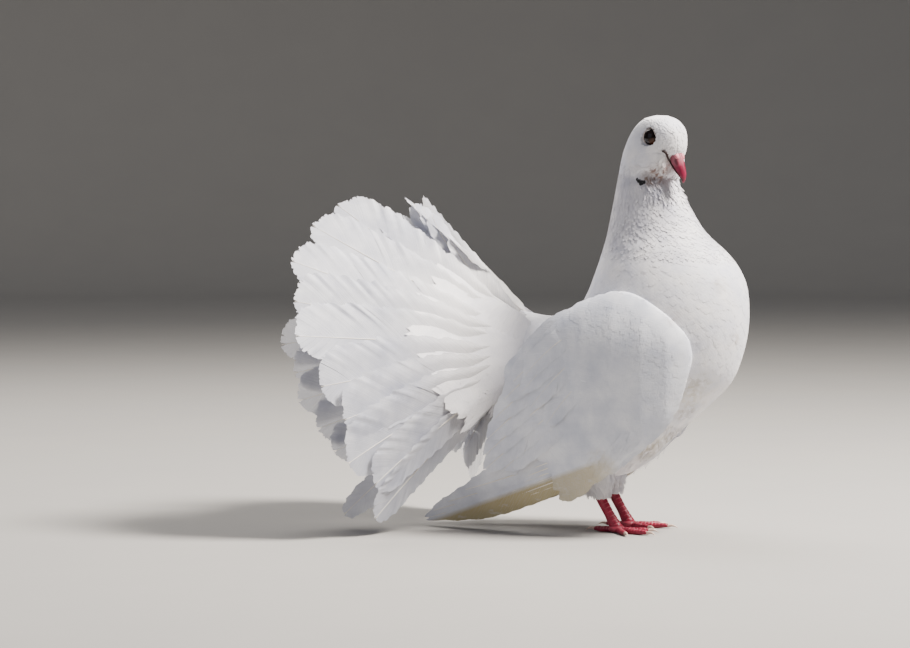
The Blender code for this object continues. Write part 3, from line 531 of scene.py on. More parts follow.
def plumage(name, white, cool, barbs=True, roughness=0.62, streaks=(0.02, 1.0, 1.0), contrast=0.35,
            shade_strength=0.2, band=0.0, base_white=False):
    """Feather keratin. Its colour is white, turned to its cooler shade by broad patches and by
    the feather's own shade number, which on long feathers is painted shade, then stained and
    darkened by painted shade where the marks lie, and last drawn over with the lines of its barbs."""
    made, tree, shader, coords = new_material(name, roughness, sheen=0.25)
    shade = node(tree, "ShaderNodeAttribute", attribute_name="shade").outputs["Fac"]
    colour = laid_over(tree, srgb(white), srgb(cool), mottle(tree, coords, CLOUD, 0.35, 0.7))
    colour = laid_over(tree, colour, srgb(cool), shade, shade_strength)
    speckle = mottle(tree, coords, SPECKLE, 0.30, 0.58, 3.0)
    uneven = node(tree, "ShaderNodeMath", {0: shade, 1: 1.1, 2: 0.5}, operation="MULTIPLY_ADD").outputs[0]
    speckle = node(tree, "ShaderNodeMath", {0: speckle, 1: uneven}, operation="MULTIPLY").outputs[0]
    if base_white:
        colour = laid_over(tree, colour, srgb("f8f6f6"), spot(tree, coords, TAIL_PIVOT, BASE_REACH, 0.5))
    for centre, radius, stain_and_shade_colour, strength in STAINS_AND_PAINTED_SHADE:
        colour = laid_over(tree, colour, srgb(stain_and_shade_colour), spot(tree, coords, centre, radius, 0.85), speckle,
                           strength)
    if band:
        band_patches = mottle(tree, coords, BAND_PATCH_SIZE, 0.12, 0.42, 4.0, 0.6, (0.35, 1.0, 1.0))
        colour = laid_over(tree, colour, srgb("ab9a62"), low_band(tree, coords), band_patches, band)
    if barbs:
        vane = node(tree, "ShaderNodeUVMap", uv_map="vane").outputs[0]
        lines = mottle(tree, vane, BARB_LINES, detail=2.0, roughness=0.6, stretch=streaks)
        strong = node(tree, "ShaderNodeMapRange", {"Value": lines, "From Min": 0.45, "From Max": 0.75})
        colour = laid_over(tree, colour, srgb(cool), strong.outputs["Result"], contrast)
        bump = node(tree, "ShaderNodeBump", {"Height": lines, "Strength": 0.35, "Distance": 0.3 * MM})
        tree.links.new(bump.outputs[0], shader.inputs["Normal"])
    tree.links.new(colour, shader.inputs["Base Color"])
    return made


# Body feathers: soft, loose barbs of white keratin, which make the bird look powdered, not shiny
BODY_WHITE = plumage("white_body_plumage", "f1eff0", "d2d4e0")
# Tail coverts: fresh and dense. Their white, the brightest on the bird, is painted light of the rump's lit
# top.
RUMP_WHITE = plumage("bright_white_tail_covert_plumage", "f8f6f7", "e3e2e8")
# Neck hackles: narrow feathers. Their greyer white and the strong cool streaks down the neck are painted
# shade, of the neck's shaded side and of the gaps between the hackles.
HACKLE_WHITE = plumage("white_hackle_plumage", "ebe9eb", "bdbdc9", streaks=(2.2, 0.06, 1.0), contrast=0.7)
# Down under the coat: a short white pile with no barbs in line, seen only between feather edges
SKIN_WHITE = plumage("white_down_under_plumage", "eceaea", "d3d4dd", barbs=False)
# Tail vanes: the thinnest sheets of barbs. Light comes through them, so the shaded side glows. Their
# greyer white, and the strong cool grey towards the quill and under each feather's edge, are painted shade
TAIL_VANE = plumage("thin_tail_vane_keratin", "e9eaf1", "acb0c1", roughness=0.5, shade_strength=0.8,
                    base_white=True)
GLOW = {"Subsurface Weight": 0.36, "Subsurface Scale": 3.0 * MM, "Subsurface Radius": (1.0, 0.95, 0.92)}
for value_name, value in GLOW.items():
    TAIL_VANE.node_tree.nodes["Principled BSDF"].inputs[value_name].default_value = value
# Wing vanes: firm sheets of hooked barbs, smoother than the coat, with an ochre low edge. Their greyer
# white is painted shade of the folded wing's side.
WING_VANE = plumage("wing_flight_vane_keratin", "e4e6ec", "c0c4d1", roughness=0.52, band=0.9)
# Wing coverts: as matt as the body's feathers. Their greyer, cooler white is painted shade of the folded
# wing's side, which is the same white as the body.
SHADED_WING_WHITE = plumage("shaded_white_covert_plumage", "e2e4eb", "c0c5d3", band=0.7)
# Quills: solid keratin, polished by its own growth, so ivory in colour and a little glossy
QUILL = plain_finish("ivory_quill_keratin", 0.35, "f6f1e8", "e2dacb", 6.0)
print(len(bpy.data.materials), "plumage finishes, with", len(STAINS_AND_PAINTED_SHADE), "stains")


# %% [markdown]
# The skin is the same loft as the solids, drawn in by the depth of the coat and closed at both
# ends, with the two thighs in the same mesh. It is only seen as down between feather edges.

# %% Skin
COAT = 0.9                    # depth of the coat on the body, in millimetres
HEAD_COAT = 0.5               # and on the head
SOCKET = 2.2                  # the skin is drawn in by this round the eyes
SKIN_ROWS = 220
SKIN_AROUND = 96
THIGH_COAT = 0.8              # depth of the coat on the thighs
THIGH_ROWS = 16
THIGH_AROUND = 28


def coat_depth(place):
    """The plumage is thinner on the head than on the body."""
    return COAT + (HEAD_COAT - COAT) * smooth(HEAD_PLACE - 2, HEAD_PLACE + 1, place)


def turns(count):
    """Angles of one full turn in equal steps, the last one short of the first."""
    return np.linspace(0, 2 * np.pi, count, endpoint=False)


def eye_axis(side):
    """The way that an eye looks: 1 is the right eye, -1 the left."""
    return unit(head_vector(EYE_LOOK[0], side * EYE_LOOK[1], EYE_LOOK[2]))


def eye_distance(points, side):
    """The eye's axis, the way from its centre, and the distance from that axis: the root of the
    squares of the level part, over the opening's width, and the upright part, over its height."""
    axis = eye_axis(side)
    away = points - head_point(EYE_FORWARD, side * EYE_SIDE, EYE_HEIGHT)
    flat = away - axis * dot(away, axis)
    up = flat[..., 2:]
    level = np.linalg.norm(flat[..., :2], axis=-1, keepdims=True)
    rise = np.clip(up / np.maximum(np.hypot(up, level), 1e-6), 0, 1)
    return axis, away, np.hypot(level / (1 - EYE_NARROW * rise), up / EYE_TALL)


def thigh_axis(share, side):
    """The thigh's middle line from inside the belly to the hock."""
    share = np.asarray(share, float)[..., None]
    top = np.array((THIGH_TOP[0], side * LEG_SIDE, THIGH_TOP[1]))
    hock = np.array((HOCK[0], side * LEG_SIDE, HOCK[1]))
    return top + (hock - top) * share


def thigh_radius(share):
    """The thigh's radius, on a curve through four measured ones."""
    radii = np.array(((THIGH_RADIUS,), (THIGH_RADIUS * 0.8,), (7.6,), (4.6,)))
    return rows_at(radii, np.asarray(share) * 3)[..., 0]


def thigh_point(share, angle, side, radius):
    """Round the thigh: level from its middle line by cos(angle) and sin(angle) times the radius."""
    level = np.stack([np.cos(angle) * radius, np.sin(angle) * radius, 0 * radius], -1)
    return thigh_axis(share, side) + level


print("a thigh's radii from top to hock:", thigh_radius(np.linspace(0, 1, 4)).round(1))

# %% The skin's mesh
skin = Heap()
place, angle = np.meshgrid(np.linspace(0, TOP, SKIN_ROWS), turns(SKIN_AROUND), indexing="ij")
body = flesh(place, angle, -coat_depth(place))
for side in (1.0, -1.0):
    axis, away, flat = eye_distance(body, side)
    near = 1 - smooth(LID_RADIUS + 0.3, LID_RADIUS + 2.0, flat)
    body = body - axis * SOCKET * near * (dot(away, axis) > 0)
unwrap = tube_map(SKIN_ROWS, SKIN_AROUND)
skin.add(*tube_body(body), unwrap, unwrap * 0, 0.5)
for side in SIDES.values():
    share, angle = np.meshgrid(np.linspace(0, 1, THIGH_ROWS), turns(THIGH_AROUND), indexing="ij")
    ring = thigh_point(share, angle, side, thigh_radius(share) - THIGH_COAT)
    patch = np.stack([0.9 + share * 0.08, 0.02 + angle / 70 + (side > 0) * 0.1], -1)
    patch = np.concatenate([patch.reshape(-1, 2), ((0.9, 0.02), (0.98, 0.02))])
    skin.add(*tube_body(ring), patch, patch * 0, 0.5)
wear(skin.piece("skin", [SKIN_WHITE]), "white_plumage", "torso", "neck", "head", "thigh_left",
     "thigh_right")


# %% [markdown]
# A body feather is a small leaf: narrow at its root, widest past its middle, with a soft ridge.
# Thousands are laid like tiles, root sunk in the coat and tip over the roots of the next ones.
# All of them are worked out at once: each row of the arrays is one feather.

# %% Leaf feathers
LEAF_ALONG = np.array((0.0, 0.22, 0.45, 0.68, 0.86, 0.96, 1.0))
LEAF_WIDE = np.array((0.4, 0.8, 1.0, 0.98, 0.8, 0.5, 0.2))
LEAF_ROWS = len(LEAF_ALONG)
CROWN = 0.07                  # thickness of a leaf's middle, in millimetres
JAG = 0.02                    # a leaf's tip is ragged by this share of its length at most
PATCH = (0.0015, 0.003)       # half width and height of a leaf's patch on the bake map
VANE_SCALE = 20               # the barbs' map is drawn 20 times life size
BARB_LEAN = 0.9               # barbs run this far along a leaf for each millimetre across it


def leaf_faces(columns):
    """Faces of a closed leaf: a grid on top, one strip beneath, and a cap at each end."""
    i, j = np.meshgrid(np.arange(LEAF_ROWS - 1), np.arange(columns - 1), indexing="ij")
    first = (i * columns + j)[..., None]
    top = (first + np.array((0, columns, columns + 1, 1))).reshape(-1, 4)
    corners = np.array((0, columns - 1, 2 * columns - 1, columns))
    under = np.arange(LEAF_ROWS - 1)[:, None] * columns + corners
    fan = np.stack([np.zeros(columns - 2, int), np.arange(1, columns - 1), np.arange(2, columns)], -1)
    end = fan[:, ::-1] + (LEAF_ROWS - 1) * columns
    return np.concatenate([top, under]), np.concatenate([fan, end])


def leaf_grid(n, length, width, sink, rise, curl, columns, ragged, flat=0.0):
    """How far every point of n leaves lies along, across and above the root: a point at share s
    along and u across is at length * s, width / 2 * w(s) * u and sink + rise * r(s) + curl * s^3.
    r(s) is s where flat is 0. Where flat is more, the leaf rises early and then lies level."""
    length, width, sink, rise, curl = (np.broadcast_to(np.asarray(v, float), n)[:, None, None]
                                       for v in (length, width, sink, rise, curl))
    s = LEAF_ALONG[None, :, None]
    u = np.linspace(-1, 1, columns)[None, None, :]
    across = width / 2 * LEAF_WIDE[None, :, None] * u
    jagged = np.clip(ragged * draw.normal(0, 1, (n, 1, columns)), -JAG, JAG)
    along = length * (s - 0.06 * u ** 2 * s + smooth(0.5, 1.0, s) * jagged)
    risen = (1 - flat) * s + flat * smooth(0, 0.45, s)
    lift = sink + rise * risen + curl * s ** 3 + CROWN * (1 - u ** 2)
    return along, across, lift


def add_leaves(heap, points, along, across, bake, mirrored=False):
    """Adds leaves to a heap: their faces, the bake patch at each root and the barbs' map."""
    n, _, columns = along.shape
    offset = (np.arange(n) * LEAF_ROWS * columns)[:, None, None]
    patch = np.stack([across / (np.abs(across).max() + 1e-6) * PATCH[0],
                      along / (np.abs(along).max() + 1e-6) * PATCH[1]], -1)
    vane = np.stack([np.abs(across), along - np.abs(across) * BARB_LEAN], -1) * MM * VANE_SCALE
    shade = np.repeat(draw.random(n) ** 1.5, LEAF_ROWS * columns)
    quads, tris = leaf_faces(columns)
    if mirrored:
        quads, tris = quads[:, ::-1], tris[:, ::-1]
    heap.add(points, quads + offset, tris + offset, bake[:, None, None] + patch, vane, shade)


def leaves(heap, root, way, out, length, width, sink, rise, bend=0.0, cup=0.0, bake=None, curl=0.0,
           columns=5, ragged=0.04):
    """Leaves on a surface that is known only at their roots: each is bent down by
    bend * along^2 / 2 and cup * across^2 / 2, so that it hugs the body's curve."""
    along, across, lift = leaf_grid(len(root), length, width, sink, rise, curl, columns, ragged)
    way = unit(way - out * dot(way, out))
    side = np.cross(out, way)
    bend, cup = (np.broadcast_to(np.asarray(v, float), len(root))[:, None, None] for v in (bend, cup))
    lift = lift - bend * along ** 2 / 2 - cup * across ** 2 / 2
    points = (root[:, None, None] + way[:, None, None] * along[..., None]
              + side[:, None, None] * across[..., None] + out[:, None, None] * lift[..., None])
    add_leaves(heap, points, along, across, bake)


print("a leaf has", len(leaf_faces(5)[0]) * 2 + len(leaf_faces(5)[1]), "triangles, a narrow one",
      len(leaf_faces(3)[0]) * 2 + len(leaf_faces(3)[1]))

# %% [markdown]
# Each feather must sit square on the bird. At its root the loft's own formula gives two steps
# along the surface, their cross product is the way out, and the wished direction is laid flat
# on the skin. Then every point of the leaf is put back on the loft, so that none stands off.

# %% Feathers on the flesh
def thin(points, spacing):
    """Indices of points thinned to about one in each cube of the given size."""
    cells = np.floor(points / spacing).astype(np.int64)
    key = (cells[:, 0] * 4001 + cells[:, 1]) * 4001 + cells[:, 2]
    return np.unique(key, return_index=True)[1]


BEND_REACH = 5.0              # the surface's bend is measured this far from a root


def frame_on_flesh(place, angle, wish):
    """On the flesh: point, outward side, the wished direction laid on the surface, and how
    strongly the surface bends along that direction and across it."""
    step = 0.02
    here = flesh(place, angle)
    d_place = (flesh(place + step, angle) - flesh(place - step, angle)) / (2 * step)
    d_angle = (flesh(place, angle + step) - flesh(place, angle - step)) / (2 * step)
    out = unit(np.cross(d_place, d_angle))
    middle = (flesh(place, angle * 0) + flesh(place, angle * 0 + np.pi)) / 2
    out = out * np.sign(dot(out, here - middle))
    way = unit(wish - out * dot(wish, out))

    def steps(direction):
        """How much place and angle change for each millimetre in a direction."""
        aa, ab, bb = dot(d_place, d_place), dot(d_place, d_angle), dot(d_angle, d_angle)
        ta, tb = dot(d_place, direction), dot(d_angle, direction)
        det = np.maximum(aa * bb - ab * ab, 1e-6)
        return np.concatenate([ta * bb - tb * ab, tb * aa - ta * ab], -1) / det

    def bend(direction):
        """The surface's drop on both sides of the root, over the square of the distance."""
        by = steps(direction) * BEND_REACH
        cp, ca = np.clip(by[:, 0], -0.9, 0.9), np.clip(by[:, 1], -0.5, 0.5)
        moved = flesh(place + cp, angle + ca) + flesh(place - cp, angle - ca) - 2 * here
        span = np.linalg.norm(flesh(place + cp, angle + ca) - here, axis=-1) + 1e-6
        return np.clip(-dot(moved, out)[:, 0] / span ** 2, -0.02, 0.12)

    return here, out, way, bend, steps


def on_flesh(place, angle, proud):
    """The flesh's surface, carried on straight beyond its first and last sections."""
    inside = np.clip(place, 0.05, TOP - 0.05)
    here = flesh(inside, angle, proud)
    return here + (flesh(inside + 0.04, angle, proud) - here) / 0.04 * (place - inside)[..., None]


def lie_of_coat(place, angle):
    """Feathers run from the bill over the head and down the neck, then back along the body."""
    down = unit(flesh(place - 0.05, angle) - flesh(place + 0.05, angle))
    back = unit(head_vector(-1.0, 0.0, -0.25))
    head_share = smooth(HEAD_PLACE - 0.2, HEAD_PLACE + 1.6, place)[:, None]
    body_share = 1 - smooth(4.0, 9.0, place)[:, None]
    lie = down * (1 - head_share) + back * head_share
    return unit(lie + np.array((-0.9, 0.0, 0.1)) * body_share)


print("the coat at the breast lies along", lie_of_coat(np.array((8.0,)), np.array((0.5,))).round(2))

# %% Laying the coat
SHORTEST = 1.2                # a feather that a limit makes shorter than this is left out


def flesh_feathers(heap, first, last, spacing, length, width, tries, keep=None, rough=0.08, lift=0.03,
                   curl=0.0, columns=5, hug=True, limit=None, stand=0.65, flat=0.0):
    """Lays feathers on the flesh between two places, evenly spaced, along the lie of the coat.
    Roots are random places and angles, thinned to one in each cube of the spacing, and keep picks
    from them by place, angle and point. Where hug is set, each point of a leaf is worked out on the
    flesh itself: the leaf's plane is laid on places and angles by the surface's two steps."""
    place = draw.uniform(first, last, tries)
    angle = draw.uniform(0, 2 * np.pi, tries)
    chosen = thin(flesh(place, angle) + draw.uniform(0, spacing, 3), spacing)
    place, angle = place[chosen], angle[chosen]
    if keep is not None:
        good = keep(place, angle, flesh(place, angle))
        place, angle = place[good], angle[good]
    here, out, way, bend, steps = frame_on_flesh(place, angle, lie_of_coat(place, angle))
    way = unit(way + np.cross(out, way) * draw.normal(0, rough, (len(here), 1)))
    size = length(place) * draw.uniform(0.85, 1.15, len(here))
    if limit is not None:
        size = limit(here, way, size)
        good = size > SHORTEST
        place, angle, here, out, way, size = (v[good] for v in (place, angle, here, out, way, size))
        here, out, way, bend, steps = frame_on_flesh(place, angle, way)
    n = len(here)
    wide = width(place) * size / length(place)
    depth = coat_depth(place)
    sink, rise = -depth * stand, depth * stand + lift + draw.normal(0, 0.03, n)
    curl = curl * draw.uniform(0, 1, n) ** 2
    bake = np.stack([0.02 + 0.95 * (angle % (2 * np.pi)) / (2 * np.pi), 0.02 + 0.95 * place / TOP], -1)
    if not hug:
        leaves(heap, here, way, out, size, wide, sink, rise, bend(way), bend(np.cross(out, way)), bake,
               curl, columns)
        return n
    along, across, height = leaf_grid(n, size, wide, sink, rise, curl, columns, 0.04, flat)
    on, over = steps(way)[:, None, None], steps(np.cross(out, way))[:, None, None]
    where = along[..., None] * on + across[..., None] * over
    points = on_flesh(place[:, None, None] + where[..., 0], angle[:, None, None] + where[..., 1], height)
    add_leaves(heap, points, along, across, bake)
    return n


def under_wing(place, angle, here):
    """True for roots that the folded wings leave bare or cover only with feather tips."""
    x, z = here[:, 0] - WING_START[0], here[:, 2] - WING_START[1]
    along = -x * math.cos(WING_SLOPE) - z * math.sin(WING_SLOPE)
    up = -x * math.sin(WING_SLOPE) + z * math.cos(WING_SLOPE)
    rows = np.concatenate([COVERTS, FLIGHT_BASE[1:]])
    low, high = np.interp(along, rows[:, 0], rows[:, 1]), np.interp(along, rows[:, 0], rows[:, 2])
    covered = (along > 6) & (along < 92) & (up > low + 8) & (up < high - 10) & (np.abs(here[:, 1]) > 24)
    return ~covered


def on_belly(place, angle, here):
    """True on the band of the belly where the coat is soft enough to stand in wisps."""
    return (here[:, 2] < 75.0) & (here[:, 2] > 38.0)


print("place 7 of the flesh, in front, lies", flesh(7.0, 0.0).round(1), "mm from the start")

# %% [markdown]
# A pigeon's coat changes over its body: broad round feathers on the back and belly, shorter ones
# on the breast, thin hackles on the neck, and the smallest on the face, where they stop short of
# the eye, the mouth and the bill. Each part is one mesh of its own, small enough to edit.

# %% Body and breast feathers
coat = Heap()
total = flesh_feathers(coat, 0.0, 7.0, 4.6, lambda p: 15.5 + p * 0, lambda p: 11.5 + p * 0, 60000,
                       under_wing, flat=0.5)
print("belly and back feathers", total)
total = flesh_feathers(coat, 3.0, 8.6, 3.2, lambda p: 8.5 + p * 0, lambda p: 1.0 + p * 0, 6000, on_belly,
                       0.45, 0.5, 2.2, columns=3)
print("belly wisps", total)
rear_coat = coat.piece("body_feathers", [BODY_WHITE])
coat = Heap()
total = flesh_feathers(coat, 7.0, 12.6, 4.0, lambda p: 14.5 - 0.5 * (p - 7), lambda p: 10.0 - 0.5 * (p - 7),
                       60000, under_wing, stand=0.55, flat=0.55)
print("breast and shoulder feathers", total)
breast_coat = coat.piece("breast_feathers", [BODY_WHITE])


# %% Neck hackles
def at_throat(place, angle, here):
    """True in front, under the bill."""
    return np.cos(angle) > 0.25


coat = Heap()
total = flesh_feathers(coat, 12.2, HEAD_PLACE + 0.8, 2.1, lambda p: 11.0 - 1.4 * (p - 12),
                       lambda p: 3.8 - 0.5 * (p - 12), 60000, None, 0.14, 0.05, 0.35, columns=3)
print("neck hackles", total)
total = flesh_feathers(coat, 14.3, 15.9, 1.5, lambda p: 7.0 + 0 * p, lambda p: 1.2 + 0 * p, 4000, at_throat,
                       0.35, 0.3, 1.5, columns=3)
print("throat bristles", total)
neck_coat = coat.piece("neck_feathers", [HACKLE_WHITE])

# %% Face feathers
BARE_EYE = LID_RADIUS + 0.9   # no feather comes nearer to the eye's axis than this
BARE_BILL = 4.6               # nor to the bill's root
BARE_MOUTH = 1.3              # nor to the mouth line
# The mouth line on the face, from its corner to the bill: places and angles of the flesh
MOUTH_LINE = np.array(((17.20, 0.795), (17.18, 0.723), (17.08, 0.629), (16.88, 0.548), (16.62, 0.440)))


def face_limit(here, way, size):
    """Shortens the feathers that would reach over an eye, the mouth line or the bill's root."""
    for side in (1.0, -1.0):
        for share in np.linspace(1.0, 0.0, 9):
            axis, away, flat = eye_distance(here + way * size[:, None] * share, side)
            over = (flat < BARE_EYE)[:, 0] & (dot(away, axis) > 0)[:, 0]
            size = np.where(over, size * max(share - 0.125, 0.0), size)
    bare = [(head_point(BILL_ROOT[0] + forward, beside, BILL_ROOT[1] - down), BARE_BILL)
            for forward, beside, down in ((1.0, 2.5, -1.0), (1.0, -2.5, -1.0), (3.5, 0.0, 4.0))]
    bare += [(flesh(place, side * angle), BARE_MOUTH) for place, angle in MOUTH_LINE
             for side in (1.0, -1.0)]
    for centre, reach in bare:
        for share in np.linspace(1.0, 0.0, 6):
            near = np.linalg.norm(here + way * size[:, None] * share - centre, axis=-1) < reach
            size = np.where(near, size * max(share - 0.2, 0.0), size)
    return size


coat = Heap()
total = flesh_feathers(coat, HEAD_PLACE + 0.3, TOP - 0.7, 1.35, lambda p: 5.2 - 0.28 * (p - HEAD_PLACE),
                       lambda p: 2.4 - 0.1 * (p - HEAD_PLACE), 70000, None, 0.10, 0.03, 0.0, columns=3,
                       hug=False, limit=face_limit)
print("head feathers", total)
head_coat = coat.piece("head_feathers", [BODY_WHITE])
for piece in (rear_coat, breast_coat, neck_coat, head_coat):
    wear(piece, "white_plumage")

# %% [markdown]
# A pigeon's thigh wears a short downy muff that ends in a ragged fringe where the scales begin.
# The leaves stand round the thigh's cone and point down it, and the random end of the lowest
# ones makes the fringe.

# %% Thigh feathers
THIGH_LEAVES = 1600
THIGH_END = 0.78              # the lowest root, as a share of the thigh's length


def thigh_feathers(heap, side):
    """Downy leaves round the thigh that hang in a ragged fringe over the top of the scaled leg:
    none is longer than what is left from its root to the hock."""
    n = THIGH_LEAVES
    share = draw.uniform(0.0, THIGH_END, n)
    angle = draw.uniform(0, 2 * np.pi, n)
    out = np.stack([np.cos(angle), np.sin(angle), 0.25 + 0 * angle], -1)
    here = thigh_point(share, angle, side, thigh_radius(share))
    way = unit(thigh_axis(np.ones(n), side) - thigh_axis(np.zeros(n), side)
               - np.stack([np.cos(angle), np.sin(angle), 0 * angle], -1) * 9.0)
    bake = np.stack([0.02 + angle / (2 * np.pi) * 0.95, 0.02 + share * 0.4 + (side > 0) * 0.5], -1)
    length = np.minimum(draw.uniform(5, 10, n),
                        (draw.uniform(0.90, 1.04, n) - share) * (THIGH_TOP[1] - HOCK[1]))
    leaves(heap, here, way, unit(out), length, draw.uniform(1.0, 2.2, n), -THIGH_COAT,
           draw.uniform(0.5, 0.9, n), 0.0, 0.05, bake, draw.uniform(-1.2, 0.2, n), columns=3, ragged=0.08)


coat = Heap()
for side in SIDES.values():
    thigh_feathers(coat, side)
wear(coat.piece("thigh_feathers", [BODY_WHITE]), "white_plumage")

# %% [markdown]
# A long feather is a quill with barbs that lean towards its tip. Neighbouring barbs hook into
# one sheet, and where they unhook the vane splits. So each vane here is a row of thin strips,
# each a small bunch of barbs: strips share their edges, except at a split, and their free ends
# make the frayed outline. Ripples run along the barbs, as wind and preening leave them.

# %% Long feathers
STATIONS = 7                  # points along a strip of barbs
START = 0.03                  # the vane begins at this share of the feather's length
RELIEF = 0.05                 # a strip's middle stands over its edges by this, in millimetres
STRIP_COLUMNS = 3
BISECTIONS = 24
QUILL_ROWS = 22
QUILL_AROUND = 6


def plume(heap, path, out, wide_side, wide, narrow, outline, barb_angles, strips, quill, bake_box,
          ripple=0.0, curl=0.0, wave=9.0, camber=0.05, splits=3, fray=0.04, stray=0.01):
    """One long feather on a path. A strip starts on the quill at x0 and runs out at the barb
    angle until it meets the outline, wide or narrow times outline(x / length). Its height over
    the path is -camber * y^2 / width + curl * (y / width)^4, plus the ripple's
    (y / width)^2.5 * sin(2 pi x0 / wave). The quill is a tube that narrows along the path."""
    steps = np.linalg.norm(np.diff(path, axis=0), axis=1)
    reach = np.concatenate([[0], np.cumsum(steps)])
    total = reach[-1]
    ahead = unit(np.gradient(path, axis=0))
    out = unit(out - ahead * dot(out, ahead))

    def at(x, table):
        """A row of a table at a distance along the path, between its two neighbours."""
        return np.stack([np.interp(x, reach, table[:, k]) for k in range(3)], -1)

    def place(x, y, z):
        """A point at x along the path, y across it and z out from it, carried on past the tip."""
        past = np.maximum(x - total, 0)[..., None]
        way, up = at(x, ahead), unit(at(x, out))
        across = np.cross(up, way)
        return at(x, path) + way * past + across * y[..., None] + up * z[..., None]

    phase = draw.uniform(0, 2 * np.pi, 3)
    t = np.linspace(0, 1, STATIONS)[None, :, None]
    for side, width in ((wide_side, wide), (-wide_side, narrow)):
        lines = np.linspace(START * total, 0.985 * total, strips + 1)
        lines = lines + draw.normal(0, 0.12, strips + 1) * (lines[1] - lines[0])
        lean = np.radians(np.interp(lines / total, barb_angles[0], barb_angles[1]))
        scallop = 1 + 0.035 * np.sin(2 * np.pi * lines / wave + phase[0]) + 0.02 * np.sin(
            2 * np.pi * lines / (wave * 2.3) + phase[1])
        end, beyond = lines * 0, lines * 0 + 1.2 * width
        for _ in range(BISECTIONS):
            middle = (end + beyond) / 2
            inside = middle < width * scallop * np.interp((lines + middle / np.tan(lean)) / total, *outline)
            end, beyond = np.where(inside, middle, end), np.where(inside, beyond, middle)
        forward = end / np.tan(lean)
        shear = np.zeros(strips)
        for where in draw.integers(strips // 3, strips, splits):
            shear[where:where + draw.integers(3, 9)] += draw.uniform(-0.05, 0.07)
        near_tip = smooth(0.8, 1.0, lines[:-1] / total)
        shorter = 1 - np.abs(draw.normal(0, fray, strips)) * (1 + 2.2 * near_tip)
        shear = shear + draw.normal(0, stray, strips) * (0.25 + near_tip)
        x0, y1, f1 = (np.stack([v[:-1], (v[:-1] + v[1:]) / 2 * longer, v[1:]], -1)[:, None, :]
                      for v, longer in ((lines, 1.0), (end, 1.012), (forward, 1.0)))
        run = t * shorter[:, None, None]
        y = y1 * run
        x = x0 + f1 * (0.72 * run + 0.28 * run ** 2) + shear[:, None, None] * y
        q = y / max(width, 1e-6)
        slow = 0.75 + 0.45 * np.sin(2 * np.pi * x0 / (wave * 3.7) + phase[1])
        fast = np.sin(2 * np.pi * x0 / wave + phase[2])
        fast = fast + 0.2 * np.sin(2 * np.pi * x0 / (wave * 0.57) + phase[0])
        swell = ripple * smooth(0.25, 0.6, x0 / total) * slow
        z = -camber * y * q + curl * q ** 4 + swell * q ** 2.5 * fast
        z = z + RELIEF * np.array((0.0, 1.0, 0.0)) * (1 - 0.5 * run) + shear[:, None, None] * 1.5 * q
        points = place(x, y * side, z)
        base = (np.arange(strips) * STATIONS * STRIP_COLUMNS)[:, None, None]
        k = (np.arange(STATIONS - 1) * STRIP_COLUMNS)[None, :, None]
        quads = np.concatenate([base + k + np.array(face)
                                for face in ((0, 3, 4, 1), (1, 4, 5, 2), (2, 5, 3, 0))])
        last = (STATIONS - 1) * STRIP_COLUMNS
        tris = np.concatenate([base[:, 0] + np.array((0, 1, 2)),
                               base[:, 0] + np.array((last, last + 2, last + 1))])
        if side < 0:
            quads, tris = quads[..., ::-1], tris[..., ::-1]
        u0, v0, u1, v1 = bake_box
        share = np.clip(x / (1.12 * total), 0, 1)
        bake = np.stack([(u0 + u1) / 2 + (u1 - u0) * 0.46 * y * side / max(wide, narrow),
                         v0 + (v1 - v0) * share], -1)
        vane = np.stack(np.broadcast_arrays(y * MM, x0 * MM * VANE_SCALE), -1)
        # Painted shade: the shade number grows towards the quill and on the narrow vane, which lies under
        # the next feather's edge, so each free upper edge reads bright; a random share varies each strip
        # and feather.
        shade = draw.random(strips)[:, None, None] * 0.25 + draw.random() * 0.15
        shade = shade + 0.4 * (1 - q.clip(0, 1) ** 2)
        shade = (shade + (0.3 if side != wide_side else 0.0)) * np.ones_like(x)
        heap.add(points, quads, tris, bake, vane, shade.ravel())
    x = np.linspace(0, total * 1.005, QUILL_ROWS)[:, None]
    radius = quill * (1 - 0.82 * (x / total).clip(0, 1) ** 0.8)
    angle = turns(QUILL_AROUND)[None, :]
    ring = place(x + 0 * angle, np.cos(angle) * radius, np.sin(angle) * radius * 0.8 + radius * 0.55)
    bake = np.concatenate([np.stack([u0 + (u1 - u0) * (0.5 + 0.02 * np.cos(angle) + 0 * x),
                                     v0 + (v1 - v0) * 0.89 * x / total + 0 * angle], -1).reshape(-1, 2),
                           ((u0, v0), (u0, v1))])
    heap.add(*tube_body(ring), bake, bake * 0, 0.5, 1)


# Outlines: shares of the length, then of the width. Barb angles: shares of the length, then degrees
TAIL_OUTLINE = (np.array((0, 0.15, 0.3, 0.45, 0.65, 0.88, 0.95, 0.99, 1.015, 1.3)),
                np.array((0.12, 0.35, 0.66, 0.88, 1.0, 1.0, 0.88, 0.6, 0.0, 0.0)))
TAIL_BARBS = (np.array((0, 0.5, 0.8, 0.93, 1.0)), np.array((46.0, 46.0, 42.0, 32.0, 14.0)))
FLIGHT_OUTLINE = (np.array((0, 0.2, 0.6, 0.82, 0.93, 1.0, 1.03, 1.3)),
                  np.array((0.7, 0.95, 1.0, 0.9, 0.66, 0.3, 0.0, 0.0)))
FLIGHT_BARBS = (np.array((0, 0.6, 0.9, 1.0)), np.array((40.0, 38.0, 30.0, 14.0)))
print("a strip of barbs has", (STATIONS - 1) * 6 + 2, "triangles")

# %% [markdown]
# A fantail carries some thirty tail feathers, raised and spread like a peacock's. Each side is a
# fan of its own here: the tips come from the table of the solids, every feather leaves the root
# in a bundle and bends to its tip, and small coverts hide the wedge that the roots stand in.

